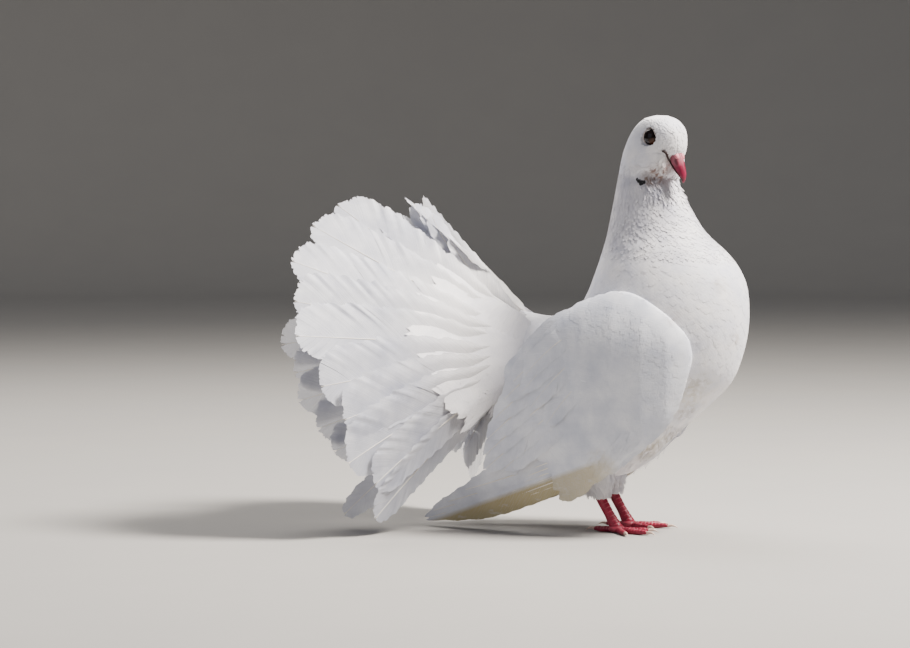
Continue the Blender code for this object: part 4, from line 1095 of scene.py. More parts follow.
# %% Lines of the tail
FEATHER_SHARES = 26           # points along a tail feather's path
BASE_ROWS = 14
BASE_COLUMNS = 40


def tail_tip(fan, place):
    """A tip between two rows of a fan, as a rise, a swing and a reach about the tail's pivot.
    Beyond the first and last rows it goes on straight."""
    place = np.asarray(place, float)
    inside = np.clip(place, 0, len(fan) - 1)
    slope = np.where((place < 0)[..., None], fan[1] - fan[0], fan[-1] - fan[-2])
    rise, swing, reach = np.moveaxis(rows_at(fan, inside) + slope * (place - inside)[..., None], -1, 0)
    rise, swing = np.radians(rise), np.radians(swing)
    way = np.stack([-np.cos(rise) * np.cos(swing), -np.cos(rise) * np.sin(swing), np.sin(rise)], -1)
    return TAIL_PIVOT + reach[..., None] * way


def tail_path(name, place, shares):
    """A tail feather's line: it leaves the root in the bundle and bends to its own tip, as a
    curve with one bend. place and shares are arrays that broadcast together."""
    fan = FANS[name]
    place, shares = np.broadcast_arrays(np.asarray(place, float), np.asarray(shares, float))
    down = (place / (len(fan) - 1))[..., None]
    root = np.concatenate([0 * down + TAIL_ROOT_X, 0 * down + FAN_SIDE[name] * TAIL_ROOT_SIDE,
                           TAIL_ROOT_TOP + (TAIL_ROOT_LOW - TAIL_ROOT_TOP) * down], -1)
    tip = tail_tip(fan, place)
    reach = np.linalg.norm(tip - root, axis=-1, keepdims=True)
    bundle = unit(np.concatenate([0 * down - 1, 0 * down, 0.3 - 0.5 * down], -1))
    bend = root + unit(bundle * 0.5 + unit(tip - root) * 0.5) * reach * 0.3
    s = shares[..., None]
    return root * (1 - s) ** 2 + bend * 2 * s * (1 - s) + tip * s ** 2


def tail_frame(name, place, shares):
    """Path, direction down the fan and outward side at the given shares of a feather's length."""
    step = 0.05
    path = tail_path(name, place, shares)
    over = tail_path(name, place + step, shares) - tail_path(name, place - step, shares)
    ahead = unit(tail_path(name, place, shares + 0.01) - tail_path(name, place, shares - 0.01))
    over = unit(over - ahead * dot(over, ahead))
    out = np.cross(ahead, over)
    wanted = np.array((0.3, FAN_SIDE[name] or -1.0, 0.35))
    return path, over, out * np.sign(dot(out, wanted)), ahead


def tail_base(name):
    """The wedge under the tail coverts: path + half * out and path - half * out in one ring. It
    thins out along the fan and at its edges, where it is closed."""
    fan = FANS[name]
    place, share = np.meshgrid(np.linspace(0, len(fan) - 1, BASE_COLUMNS),
                               np.linspace(-0.04, COVERT_END * 0.96, BASE_ROWS))
    path, _, out, _ = tail_frame(name, place, share)
    half = 0.35 + (TAIL_ROOT_HALF - 0.75) * np.clip(1 - share / COVERT_END, 0, 1) ** 1.6
    edge = np.abs(2 * place / (len(fan) - 1) - 1)
    half = (half * (1 - edge ** 6 * 0.6))[..., None]
    return np.concatenate([path + out * half, (path - out * half)[:, ::-1]], axis=1)


print("the longest tail feather ends", round(float(max(fan[:, 2].max() for fan in FANS.values()))),
      "mm from the pivot")

# %% Tail feathers
# Feathers in each fan, from its top to its foot: place, share of the full length, width, depth
TAIL_FEATHERS = {
    "right": ((0.0, 0.80, 0.7, 0), (0.8, 0.93, 0.9, 0), (1.8, 0.985, 1, 0), (2.8, 0.97, 1, 0),
              (3.8, 0.985, 1, 0), (4.65, 0.97, 1, 0), (5.5, 0.985, 1, 0), (6.9, 0.96, 1, 0),
              (7.9, 0.93, 1, 0), (8.9, 0.97, 1.05, 0), (9.9, 0.96, 0.9, 2.5), (10.9, 1.0, 0.85, 4.5)),
    "left": ((0.1, 0.97, 1, 0), (1.2, 0.95, 1, 0), (2.3, 0.98, 1, 0), (3.4, 0.96, 1, 0), (4.5, 0.98, 1, 0),
             (5.6, 0.97, 1, 0), (6.7, 0.98, 1, 0), (7.8, 0.96, 1, 0), (8.9, 0.98, 1, 0), (10.0, 0.96, 1, 0),
             (10.9, 0.98, 0.9, 0)),
    "middle": ((0.2, 0.98, 1, 0), (1.1, 0.96, 1, 0), (2.0, 0.98, 1, 0), (3.0, 0.96, 1, 0),
               (3.9, 0.98, 0.9, 0)),
}
TAIL_VANES = {"right": (24.0, 16.0), "left": (22.0, 16.0), "middle": (19.0, 15.0)}
TAIL_STRIPS = 100
TAIL_QUILL = 0.85


def tail_feathers(name):
    """The fan's feathers, from its top to its foot, each over the one above it."""
    heap = Heap()
    wide, narrow = TAIL_VANES[name]
    count = len(TAIL_FEATHERS[name])
    for k, (place, part, size, deep) in enumerate(TAIL_FEATHERS[name]):
        shares = np.linspace(0.06, 1.0, FEATHER_SHARES) * part
        path, over, out, ahead = tail_frame(name, np.full(FEATHER_SHARES, place), shares)
        tilt = TAIL_TILT * draw.uniform(0.8, 1.2)
        facing = out * math.cos(tilt) + over * math.sin(tilt)
        across = np.cross(facing, ahead)
        wide_side = -np.sign(np.mean(dot(across, over)))
        path = path - out * deep * shares[:, None]
        box = (0.01 + 0.97 * k / count, 0.02, 0.01 + 0.97 * (k + 0.92) / count, 0.98)
        size = size * draw.uniform(0.96, 1.04)
        plume(heap, path, facing, wide_side, wide * size, narrow * size, TAIL_OUTLINE, TAIL_BARBS,
              TAIL_STRIPS, TAIL_QUILL, box,
              ripple=draw.uniform(0.3, 0.6) * (1 - 0.4 * (place > 7.5)), curl=draw.uniform(0.5, 1.3),
              wave=draw.uniform(8.5, 13.0), splits=draw.integers(1, 4), fray=0.02)
    return heap


LOOSE_STRIPS = 80
LOOSE_QUILL = 0.7
# Feathers that stand alone between the two sides: root, bend, tip, facing, and the vanes' widths
LOOSE = (
    ((-46.0, -3.0, 106.0), (-92.0, -14.0, 84.0), (-163.0, -41.6, 9.5), (0.35, -1.0, 0.3), 9.5, 8.0),
    ((-46.0, 6.0, 134.0), (-108.0, 22.0, 163.0), (-137.2, 30.0, 212.5), (0.6, -1.0, 0.6), 7.5, 8.5),
    ((-46.0, 6.0, 135.0), (-105.0, 17.0, 166.0), (-129.4, 24.0, 210.5), (0.9, -1.0, 0.3), 5.5, 6.5),
    ((-46.0, 5.0, 136.0), (-103.0, 13.0, 166.0), (-121.5, 20.0, 205.5), (0.5, -1.0, 0.8), 6.5, 7.0),
    ((-46.0, 5.0, 137.0), (-88.0, 10.0, 158.0), (-107.4, 14.0, 189.5), (0.6, -1.0, 0.8), 4.0, 5.0),
)


def loose_feathers(heap):
    """One narrow feather that hangs below the others, and four that stand in the notch on top."""
    share = np.linspace(0.1, 1, FEATHER_SHARES)[:, None]
    for k, (root, bend, tip, facing, wide, narrow) in enumerate(LOOSE):
        root, bend, tip = (np.array(point) for point in (root, bend, tip))
        path = root * (1 - share) ** 2 + bend * 2 * share * (1 - share) + tip * share ** 2
        facing = np.broadcast_to(np.array(facing), path.shape)
        plume(heap, path, facing, 1.0, wide, narrow, TAIL_OUTLINE, TAIL_BARBS, LOOSE_STRIPS, LOOSE_QUILL,
              (0.99, 0.02 + 0.19 * k, 1.0, 0.2 + 0.19 * k), ripple=0.25, wave=9.0, splits=2, fray=0.03)


print({name: len(rows) for name, rows in TAIL_FEATHERS.items()}, "feathers and", len(LOOSE), "loose ones")

# %% Tail coverts
COVERT_COUNT = {"right": 820, "left": 820, "middle": 120}
COVERT_REACH = 150.0          # a covert's length counts as this share of a tail feather's


def tail_coverts(name):
    """The wedge with small leaves on both its faces. A leaf runs along the tail feathers' own
    lines: its length is a share of theirs, and its width a number of places in the fan. The
    leaves on the two lowest places are narrow strips, and the upper ones are a little longer."""
    base = Heap()
    wedge = tail_base(name)
    points, quads, tris = tube_body(wedge)
    base.add(points, quads, tris, tube_map(*wedge.shape[:2]), points[:, :2] * 0, 0.4)
    n, last = COVERT_COUNT[name], len(FANS[name]) - 1
    place = draw.uniform(-0.25, last + 0.25, n)
    share = draw.uniform(-0.04, COVERT_END * 0.98, n)
    strip = smooth(last - 2.0, last - 0.6, place)
    upper = 1 - np.clip(place / last, 0, 1)
    length = draw.uniform(24, 36, n) * (1 + 0.2 * upper)
    width = draw.uniform(15, 22, n) * (1 - 0.72 * strip)
    far, across, lift = leaf_grid(n, length, width, -0.8, 0.85 + draw.uniform(0, 0.15, n), 0.0, 5, 0.03,
                                  0.55)
    place, share = place[:, None, None], share[:, None, None]
    shares = share + far / COVERT_REACH
    step = tail_path(name, place + 0.1, shares) - tail_path(name, place - 0.1, shares)
    spread = np.linalg.norm(step, axis=-1) / 0.2
    room = np.minimum(place + 0.4, last + 0.45 - place) * 1.2
    pinch = 0.85 + 0.15 * np.abs(across) / np.abs(across).max()
    places = place + np.clip(across / np.maximum(spread, 2.5), -room, room) * pinch
    path, over, out, ahead = tail_frame(name, places, shares)
    half = 0.6 + (TAIL_ROOT_HALF - 0.6) * np.clip(1 - shares / COVERT_END, 0, 1) ** 1.6
    half = half + 0.9 * smooth(COVERT_END, COVERT_END + 0.15, shares)
    turned = np.sign(np.sum(np.cross(ahead, over) * out))
    for face in (1.0, -1.0):
        bake = np.stack([0.02 + 0.9 * place / last * 0.5 + (face > 0) * 0.48, 0.02 + share * 2.4], -1)
        add_leaves(base, path + out * (face * (half + lift))[..., None], far, across, bake[:, 0, 0],
                   turned * face < 0)
    return base


for name in TAIL_FEATHERS:
    heap = tail_feathers(name)
    if name == "middle":
        loose_feathers(heap)
    wear(heap.piece(f"tail_{name}_feathers", [TAIL_VANE, QUILL]), "tail_plumage", f"tail_{name}")
    wear(tail_coverts(name).piece(f"tail_{name}_coverts", [RUMP_WHITE]), "white_plumage")

# %% [markdown]
# The folded wing lies against the flank. Its coverts are small leaves in tiers on a pad, and its
# flight feathers are long ones: the inner ones lie over the outer, down to the long primaries.

# %% Form of the folded wing
PAD_ROWS = 30
PAD_AROUND = 40


def wing_side(x, z):
    """Distance of the folded wing from the bird's middle plane: fullest at mid height."""
    flat = np.interp(x, WING_SIDE[:, 0], WING_SIDE[:, 1])
    high, low = np.clip((z - 118.0) / 45.0, 0, None), np.clip((78.0 - z) / 60.0, 0, None)
    return flat - 13.0 * high ** 2 - 7.0 * low ** 2


def wing_point(along, up, depth, side):
    """A point on the wing: along and up in its own plane, depth out from its surface."""
    along, up, depth = np.broadcast_arrays(*(np.asarray(v, float) for v in (along, up, depth)))
    x = WING_START[0] - along * math.cos(WING_SLOPE) - up * math.sin(WING_SLOPE)
    z = WING_START[1] - along * math.sin(WING_SLOPE) + up * math.cos(WING_SLOPE)
    return np.stack([x, side * (wing_side(x, z) + depth), z], -1)


def tuck(along, side):
    """How much the low edge rises there on this side."""
    return np.interp(along, COVERTS[:, 0], TUCK["left" if side > 0 else "right"])


def wing_pad(rows, side, inside, drawn_in):
    """The pad itself, a little drawn in so that feathers cover it: cos(angle) goes from its low
    edge to its high one, and the power 0.7 of sin(angle) out to its half thickness."""
    place = np.linspace(0, len(rows) - 1, PAD_ROWS)
    along, low, high, half = np.moveaxis(rows_at(rows, place), -1, 0)[..., None]
    low = low + tuck(along, side)
    angle = turns(PAD_AROUND)[None, :]
    up = (low + high) / 2 + ((high - low) / 2 - drawn_in) * np.cos(angle)
    out = np.sin(angle)
    depth = np.where(out > 0, (half - drawn_in) * np.abs(out) ** 0.7, -(half + inside) * np.abs(out) ** 0.7)
    return wing_point(along + 0 * angle, up, depth, side)


# The coat over all pads: along, low edge, high edge, height above and below the middle line
WING_COAT = np.concatenate([COVERTS[:, [0, 1, 2, 3, 3]], (
    (68, -37.5, 59, 3.8, 3.8), (80, -39, 55, 3.1, 3.3), (94, -40, 48, 2.4, 1.8), (106, -39, 40, 2.2, -1.0),
    (118, -37, 36, 2.0, -2.6))])
HAND_PAD = HAND_BASE - np.array(((0, 0, 0, 0), (0, 0, 0, 0.2), (0, 0, 0, 1.4), (8, 0, 0, 1.9)))


def coat_height(along, up, side):
    """Height of the coat over the pads, bridging the groove between them: its middle height times
    the power 0.35 of 1 - q^2, where q runs from -1 at the low edge to 1 at the high one."""
    low, high, top, foot = (np.interp(along, WING_COAT[:, 0], WING_COAT[:, k]) for k in (1, 2, 3, 4))
    low = low + tuck(along, side)
    q = np.clip((up - (low + high) / 2) / ((high - low) / 2 + 2.0), -1, 1)
    half = foot + (top - foot) * smooth(-18, -6, up)
    return half * (1 - q ** 2) ** 0.35


def wing_frame(along, up, depth, side):
    """Point and outward side on the wing's surface, from steps along it and up it."""
    here = wing_point(along, up, depth, side)
    a = wing_point(along + 1, up, depth, side) - wing_point(along - 1, up, depth, side)
    b = wing_point(along, up + 1, depth, side) - wing_point(along, up - 1, depth, side)
    out = unit(np.cross(a, b))
    return here, out * np.sign(out[..., 1:2] * side)


print("the wing's coat is", round(float(coat_height(40.0, 20.0, 1.0)), 1), "mm deep at its middle")

# %% [markdown]
# A pigeon's folded wing shows three sets of long feathers. The primaries lie lowest and reach
# farthest, the secondaries lap over them, and the short tertials cover the back edge. Each set
# is a table of roots and tips in the wing's own plane, so one loop makes them all.

# %% Flight feathers
WING_SHARES = 24              # points along a flight feather's path


def wing_plumes(heap, table, side, wide, narrow, depth_of, tilt, bow, strips, quill):
    """Feathers from a table of roots and tips. The line root + (tip - root) * s is bowed by
    bow * 4 s (1 - s), and the vane is tilted by a second line beside it, less deep by tilt."""
    for k, (root, tip) in enumerate(table):
        shares = np.linspace(0, 1, WING_SHARES)
        along = unit(tip - root)
        square = np.array((-along[1], along[0]))
        line = root + (tip - root) * shares[:, None] + square * (bow * 4 * shares * (1 - shares))[:, None]
        path, out = wing_frame(line[:, 0], line[:, 1], depth_of(k), side)
        high = wing_point(line[:, 0] + square[0], line[:, 1] + square[1], depth_of(k) - tilt, side)
        ahead = unit(np.gradient(path, axis=0))
        facing = np.cross(ahead, unit(high - path))
        facing = facing * np.sign(facing[:, 1:2] * side)
        across = np.cross(facing, ahead)
        wide_side = np.sign(np.mean(dot(across, high - path)))
        box = (0.01 + 0.97 * k / len(table), 0.02, 0.01 + 0.97 * (k + 0.92) / len(table), 0.98)
        plume(heap, path, facing, wide_side, wide, narrow, FLIGHT_OUTLINE, FLIGHT_BARBS, strips, quill, box,
              ripple=0.12, wave=11.0, camber=0.03, splits=draw.integers(0, 3), fray=0.01, stray=0.004)


# Inner feathers over the back edge of the folded wing: root and tip, along and up in its plane
TERTIALS = np.array((((48.0, 48.0), (97.0, 40.0)), ((48.0, 41.0), (104.0, 32.0)),
                     ((48.0, 34.0), (104.0, 20.0)), ((50.0, 20.0), (100.0, 5.0))))
TIP_RISE = 1.0                # the tips of the inner flight feathers stand off by this much more


def standing(depth, root_sunk):
    """Depth of a flight feather along its length: its root is sunk and its tip stands off."""
    shares = np.linspace(0, 1, WING_SHARES)
    return depth - root_sunk * (1 - smooth(0.0, 0.4, shares)) + TIP_RISE * smooth(0.6, 1.0, shares)


# Sets of long feathers: name, table, wide vane, narrow vane, depth of the k-th feather, tilt, bow,
# strips, quill, finish, and whether the solids have such a set
FLIGHTS = (
    ("secondary", SECONDARIES, 10.5, 9.0, lambda k: standing(1.9, 0.0), 0.08, 1.0, 66, 0.6, WING_VANE,
     ["secondaries"]),
    ("tertial", TERTIALS, 9.0, 8.0, lambda k: standing(3.3, 3.3), 0.06, 2.5, 60, 0.3, SHADED_WING_WHITE, []),
    ("primary", PRIMARIES, 9.5, 6.5, lambda k: -PRIMARY_DEPTH - (k - 3) * 0.5, 0.03, -1.5, 80, 0.75,
     WING_VANE, ["primaries"]),
)
print(len(TERTIALS), "tertials,", len(SECONDARIES), "secondaries and", len(PRIMARIES),
      "primaries on each wing")


# %% Wing coverts
TRIES = 9000                  # random roots for each tier, most of which are thinned out


def wing_leaves(heap, side, first, last, low_edge, high_edge, spacing, length, width, sink=0.8, lift=0.07,
                fluff=0.0, turned=-0.18):
    """Covert leaves laid on the wing's coat between two distances along it: a leaf's own along and
    across are turned in the wing's plane and added to its root. Fluff lets the tips stand off and
    curl at random, as the soft flank feathers do that fold over the wing's edge."""
    along = draw.uniform(first, last, TRIES)
    up = draw.uniform(low_edge, high_edge, TRIES)
    low, high = (np.interp(along, WING_COAT[:, 0], WING_COAT[:, k]) for k in (1, 2))
    good = (up > low + tuck(along, side) + 1.0) & (up < high - 1.0)
    along, up = along[good], up[good]
    chosen = thin(np.stack([along, up, up * 0], -1) + draw.uniform(0, spacing, 3), spacing)
    along, up = along[chosen], up[chosen]
    n = len(along)
    turn = turned + draw.normal(0, 0.05 + 0.25 * fluff, n)[:, None, None]
    size = draw.uniform(0.88, 1.12, n)
    rise = sink + draw.normal(lift, 0.012, n) + fluff * draw.uniform(0, 1, n)
    curl = fluff * draw.uniform(-1, 1, n)
    far, across, height = leaf_grid(n, length * size, width * size, -sink, rise, curl, 5, 0.03, 0.5)
    a = along[:, None, None] + far * np.cos(turn) - across * np.sin(turn)
    u = up[:, None, None] + far * np.sin(turn) + across * np.cos(turn)
    bake = np.stack([0.02 + 0.95 * (along + 20) / 140, 0.02 + 0.95 * (up + 45) / 115], -1)
    add_leaves(heap, wing_point(a, u, coat_height(a, u, side) + height, side), far, across, bake, side > 0)
    return n


# Tiers of coverts: first and last place along, low and high edge, spacing, length, width, and
# where they differ from the most common ones, how deep the root is sunk, how far the tip stands
# off, fluff and turn
TIERS = (
    (-5, 24, -40, 70, 3.4, 11.0, 8.5, 0.4, 0.02),
    (16, 46, -40, 70, 4.0, 15.0, 11.0, 0.5, 0.03),
    (38, 72, -10, 70, 4.0, 22.0, 12.0),
    (60, 86, -8, 60, 4.6, 27.0, 13.0, 0.8, 0.12),
    (40, 98, -40, -8, 3.7, 20.0, 10.0),
    (46, 80, -36, -24, 2.6, 12.0, 3.0, 0.5, 0.3, 0.6, -0.42),
)
# Pads under the coverts, and how far inside the wing's surface each reaches
PADS = ((COVERTS, 9.0), (FLIGHT_BASE, 2.0), (HAND_PAD, 1.5))
PAD_IN = 0.5                  # the pads are drawn in by this from the solids' edges

for side_name, side in SIDES.items():
    pads = Heap()
    for rows, inside in PADS:
        points, quads, tris = tube_body(wing_pad(rows, side, inside, PAD_IN))
        pads.add(points, quads, tris, tube_map(PAD_ROWS, PAD_AROUND), points[:, :2] * 0, 0.5)
    total = sum([wing_leaves(pads, side, *tier) for tier in TIERS])
    print(side_name, "wing coverts", total)
    piece = pads.piece(f"wing_{side_name}_covert_feathers", [SHADED_WING_WHITE])
    wear(piece, "white_plumage", f"wing_{side_name}_coverts")
    for kind, table, wide, narrow, depth_of, tilt, bow, strips, quill, vane, sets in FLIGHTS:
        heap = Heap()
        wing_plumes(heap, table, side, wide, narrow, depth_of, tilt, bow, strips, quill)
        piece = heap.piece(f"wing_{side_name}_{kind}_feathers", [vane, QUILL])
        wear(piece, "white_plumage", *[f"wing_{side_name}_{solid}" for solid in sets])


# %% [markdown]
# Bill, eyes and feet are bare parts: horn, a wet eyeball in its lid, and red scaled skin.
# They are smooth lofts, and their fine scales and pores are in the surface and its bump.

# %% Bill and leg finishes
BILL_AHEAD = head_vector(math.cos(BILL_DOWN), 0, -math.sin(BILL_DOWN))
BILL_AWAY = head_vector(math.sin(BILL_DOWN), 0, math.cos(BILL_DOWN))
# The nostril's slit as spots of painted shade: reach along the bill, height off it, radius, strength
NOSTRIL = ((3.4, 3.7, 1.5, 0.55), (4.4, 3.9, 2.0, 0.75), (5.5, 3.8, 1.8, 0.7), (6.5, 3.4, 1.3, 0.5))

# Bill horn: thin keratin grown over skin full of blood, so a deep pink that shines softly where it
# is worn smooth. The pale pink spot on its top near the root is a painted highlight.
BILL_SKIN, tree, shader, coords = new_material("pink_bill_horn", 0.38)
colour = laid_over(tree, srgb("680b28"), srgb("8a1a40"), mottle(tree, coords, 4.0, 0.3, 0.7))
# Painted highlight: a pale pink spot on the bill's top near its root.
colour = laid_over(tree, colour, srgb("d88f9c"), spot(tree, coords, head_point(28.0, 1.5, 243.5), 6.5, 0.9),
                   0.6)
# Painted shade in each nostril's slit: dark maroon spots.
for side in (1.0, -1.0):
    for reach, high, size, depth in NOSTRIL:
        nostril = head_point(BILL_ROOT[0], side * 3.6, BILL_ROOT[1]) + BILL_AHEAD * reach + BILL_AWAY * high
        colour = laid_over(tree, colour, srgb("3c0414"), spot(tree, coords, nostril, size, 0.9), depth)
tree.links.new(colour, shader.inputs["Base Color"])
pores = mottle(tree, coords, 0.9, detail=3.0)
bump = node(tree, "ShaderNodeBump", {"Height": pores, "Strength": 0.25, "Distance": 0.15 * MM})
tree.links.new(bump.outputs[0], shader.inputs["Normal"])

# Leg skin: horny plates on blood-red skin, with a soft gleam, and pale dust along the plates' edges
LEG_SKIN, tree, shader, coords = new_material("crimson_scaled_leg_skin", 0.42)
edge = node(tree, "ShaderNodeAttribute", attribute_name="shade").outputs["Fac"]
colour = laid_over(tree, srgb("78082a"), srgb("9c1038"), mottle(tree, coords, 3.0, 0.3, 0.7))
tree.links.new(laid_over(tree, colour, srgb("c86874"), edge), shader.inputs["Base Color"])
grain = mottle(tree, coords, 0.7, detail=3.0)
bump = node(tree, "ShaderNodeBump", {"Height": grain, "Strength": 0.3, "Distance": 0.15 * MM})
tree.links.new(bump.outputs[0], shader.inputs["Normal"])

print("a nostril of", len(NOSTRIL), "spots on a bill that points along", BILL_AHEAD.round(2))

# %% Claw, eye and lid finishes
# Claw horn: solid keratin without colour of its own, glossy as a fingernail
CLAW_HORN = plain_finish("pale_claw_horn", 0.35, "e3cfc0", "b08f84", 2.0)

# Eyeball: a film of tears on a clear cornea, so nearly a mirror, over a dark iris that is warmer below
EYE_WET, tree, shader, coords = new_material("wet_dark_eyeball", 0.05, ior=1.38, specular=0.4)
colour = laid_over(tree, srgb("050303"), srgb("140806"), mottle(tree, coords, 1.5))
for side in (1.0, -1.0):
    warm = head_point(EYE_FORWARD + 3.4, side * (EYE_SIDE + 4.0), EYE_HEIGHT - 3.2)
    colour = laid_over(tree, colour, srgb("5a3016"), spot(tree, coords, warm, 3.4, 0.9), 0.7)
tree.links.new(colour, shader.inputs["Base Color"])

# Lid: bare dry skin, pale and matt
LID_SKIN = plain_finish("pale_lid_skin", 0.5, "d6cbc6", "aa9a97", 0.8)
# Corner of the mouth: painted shade, a dark finish for the fold that no light gets into
MOUTH_PAINTED_SHADE = plain_finish("mouth_corner_painted_shade", 0.8, "100506", "2a0b0e", 1.0)
# Cere: swollen skin, chalky with the bird's own feather dust
CERE_SKIN = plain_finish("chalky_cere_skin", 0.6, "cf8490", "b5606f", 1.2)
print(len(bpy.data.materials), "finishes with the bare parts")

# %% [markdown]
# The head's small parts are what a viewer looks at first. An eyeball is a ball in a soft ring
# that follows it, and the bill is two arched halves with the cere's two lumps at its root. Each
# is a grid or a ring carried along a line, closed at its ends, so that nothing shows a gap.

# %% Eyes
def flat_map(points):
    """A plain map for a small piece: its two longest spans fill the square."""
    span = np.ptp(points, axis=0)
    order = np.argsort(span)[::-1][:2]
    low = points.min(0)
    return 0.02 + 0.96 * (points[:, order] - low[order]) / np.maximum(span[order], 1e-6)


def small_piece(name, bodies, finish, nodes, slot, shade=0.5):
    """One mesh of closed bodies with a plain map. A body may bring its own shade as a fourth value."""
    heap = Heap()
    for points, quads, tris, *value in bodies:
        heap.add(points, quads, tris, flat_map(points), points[:, :2] * 0, value[0] if value else shade)
    wear(heap.piece(name, [finish]), slot, *nodes)


def swelling(centre, ahead, across, away, radii, rows, around, cap):
    """A lump from circles round the way ahead: ahead * cos(a), and across * cos(b) and
    away * sin(b), both times sin(a), each by its own radius. The end circles are a cap's angle wide."""
    a, b = np.meshgrid(np.linspace(cap, np.pi - cap, rows), turns(around), indexing="ij")
    a, b = a[..., None], b[..., None]
    return centre + ahead * radii[0] * np.cos(a) + across * radii[1] * np.sin(a) * np.cos(b) + (
        away * radii[2] * np.sin(a) * np.sin(b))


LID_AROUND = 48
LID_RING = 10
X_WAY, Y_WAY, Z_WAY = np.eye(3)


def lid(centre, axis, radius, reach, thick):
    """A soft ring that follows the eyeball: reach out from its axis, taller than wide and
    narrower above, and at sqrt(radius^2 - r^2) along it where it is r away from the axis."""
    up = unit(Z_WAY - axis * axis[2])
    ahead = np.cross(up, axis)
    turn = turns(LID_AROUND)[:, None, None]
    small = turns(LID_RING)[None, :, None]
    rise = np.sin(turn)
    spoke = ahead * np.cos(turn) * (1 - EYE_NARROW * np.clip(rise, 0, 1)) + up * rise * EYE_TALL
    away = np.linalg.norm(spoke, axis=-1, keepdims=True) * reach
    depth = np.sqrt(np.maximum(radius ** 2 - away ** 2, 1.0))
    return centre + spoke * (reach + thick * np.cos(small)) + axis * (depth + thick * np.sin(small))


def ring_body(points):
    """A ring that closes on itself both ways."""
    rows, around = points.shape[:2]
    i, j = np.meshgrid(np.arange(rows), np.arange(around), indexing="ij")
    a, b = (i + 1) % rows, (j + 1) % around
    quads = np.stack([i * around + j, i * around + b, a * around + b, a * around + j], -1).reshape(-1, 4)
    return points.reshape(-1, 3), *outward_faces(points, quads)


for side_name, side in (("right", 1.0), ("left", -1.0)):
    centre = head_point(EYE_FORWARD, side * EYE_SIDE, EYE_HEIGHT)
    axis = eye_axis(side)
    radius = EYE_RADIUS + 0.2
    ball = swelling(centre, Z_WAY, X_WAY, Y_WAY, (radius, radius, radius), 28, 40, 0.03)
    small_piece(f"eyeball_{side_name}", [tube_body(ball)], EYE_WET, [f"eye_{side_name}"], "dark_eye")
    ring = lid(centre, axis, radius, LID_RADIUS + 0.1, 0.45)
    small_piece(f"lid_{side_name}", [ring_body(ring)], LID_SKIN, [], "white_plumage")


# %% Bill
BILL_ROWS = 40
BILL_AROUND = 28
BILL_START = -3.5             # the bill begins this far inside the face
# Heights of the two halves at even steps from root to tip
UPPER_HEIGHTS = (6.9, 6.2, 5.0, 3.5, 1.1)
LOWER_HEIGHTS = (3.0, 3.0, 2.7, 2.1, 0.7)
HOOK = 1.6                    # the upper half's tip droops by this


def bill_reach(share, width):
    """Half the bill's width at a share of its length: it flares a little into the face."""
    return width / 2 * (1 - share ** 2.2) ** 0.75 + 0.45 + 0.8 * (1 - share) ** 4


def bill_half(length, heights, width, below, droop):
    """Half of the bill: flat at the mouth line and arched away from it, narrowing to its tip. It is
    cos(angle) * half the width across, and the power 0.85 of sin(angle) * its height away."""
    away = BILL_AWAY * (-1 if below else 1)
    across = head_vector(0, 1, 0)
    share = np.linspace(0, 1, BILL_ROWS)[:, None]
    wide = bill_reach(share, width)
    high = rows_at(np.array(heights, float)[:, None], share[:, 0] * (len(heights) - 1))
    drop = droop * np.maximum(0, share - 0.84) ** 2 / 0.0256
    angle = np.linspace(0, np.pi, BILL_AROUND)[None, :]
    ridge = 1 + 0.08 * np.exp(-((angle - np.pi / 2) / 0.35) ** 2)
    root = head_point(BILL_ROOT[0], 0, BILL_ROOT[1])
    run = (BILL_START + share * (length - BILL_START))[..., None]
    return (root + BILL_AHEAD * run + across * (np.cos(angle) * wide)[..., None]
            + away * (np.sin(angle) ** 0.85 * high * ridge + 0.15 - drop)[..., None])


upper = tube_body(bill_half(BILL_LENGTH, UPPER_HEIGHTS, BILL_WIDTH, False, HOOK))
lower = tube_body(bill_half(LOWER_LENGTH, LOWER_HEIGHTS, BILL_WIDTH * 0.86, True, 0.0))
small_piece("upper_bill", [upper], BILL_SKIN, ["bill_upper"], "pink_bill")
small_piece("lower_bill", [lower], BILL_SKIN, ["bill_lower"], "pink_bill")

# %% Cere and corners of the mouth
root = head_point(BILL_ROOT[0], 0, BILL_ROOT[1])
lumps = []
for side in (1.0, -1.0):
    middle = root + head_vector(0, side * 2.2, 0) + BILL_AWAY * 5.0 + BILL_AHEAD * 0.4
    lump = swelling(middle, BILL_AHEAD, head_vector(0, 1, 0), BILL_AWAY, (3.4, 2.1, 1.6), 16, 24, 0.05)
    lumps.append(tube_body(lump))
small_piece("cere", lumps, CERE_SKIN, [], "pink_bill")
# Painted shade along the mouth line: dark tubes that lead from the bill's edges round to the corners of the
# mouth
corners = []
for side in (1.0, -1.0):
    share = np.array((0.3, 0.45, 0.62, 0.78, 0.9, 0.97))[:, None]
    run = BILL_START + share * (BILL_LENGTH - BILL_START)
    beside = head_vector(0, side, 0) * (bill_reach(share, BILL_WIDTH) + 0.05)
    edge = root + BILL_AHEAD * run + beside + BILL_AWAY * 0.1
    fold = flesh(MOUTH_LINE[:, 0], side * MOUTH_LINE[:, 1], 0.25 if side > 0 else -0.25)
    line = np.concatenate([fold, edge])
    share = np.linspace(0, len(line) - 1, 48)
    path = rows_at(line, share)
    across = unit(np.cross(np.gradient(path, axis=0), head_vector(0, side, 0)))
    out = unit(np.cross(across, np.gradient(path, axis=0)))
    angle = turns(10)[None, :, None]
    thick = np.interp(share, (0, 0.5, 1.5, 4, 8, 10), (0.2, 0.8, 0.85, 0.7, 0.35, 0.12))[:, None, None]
    ring = path[:, None] + across[:, None] * np.cos(angle) * thick + out[:, None] * np.sin(angle) * thick
    corners.append(tube_body(ring))
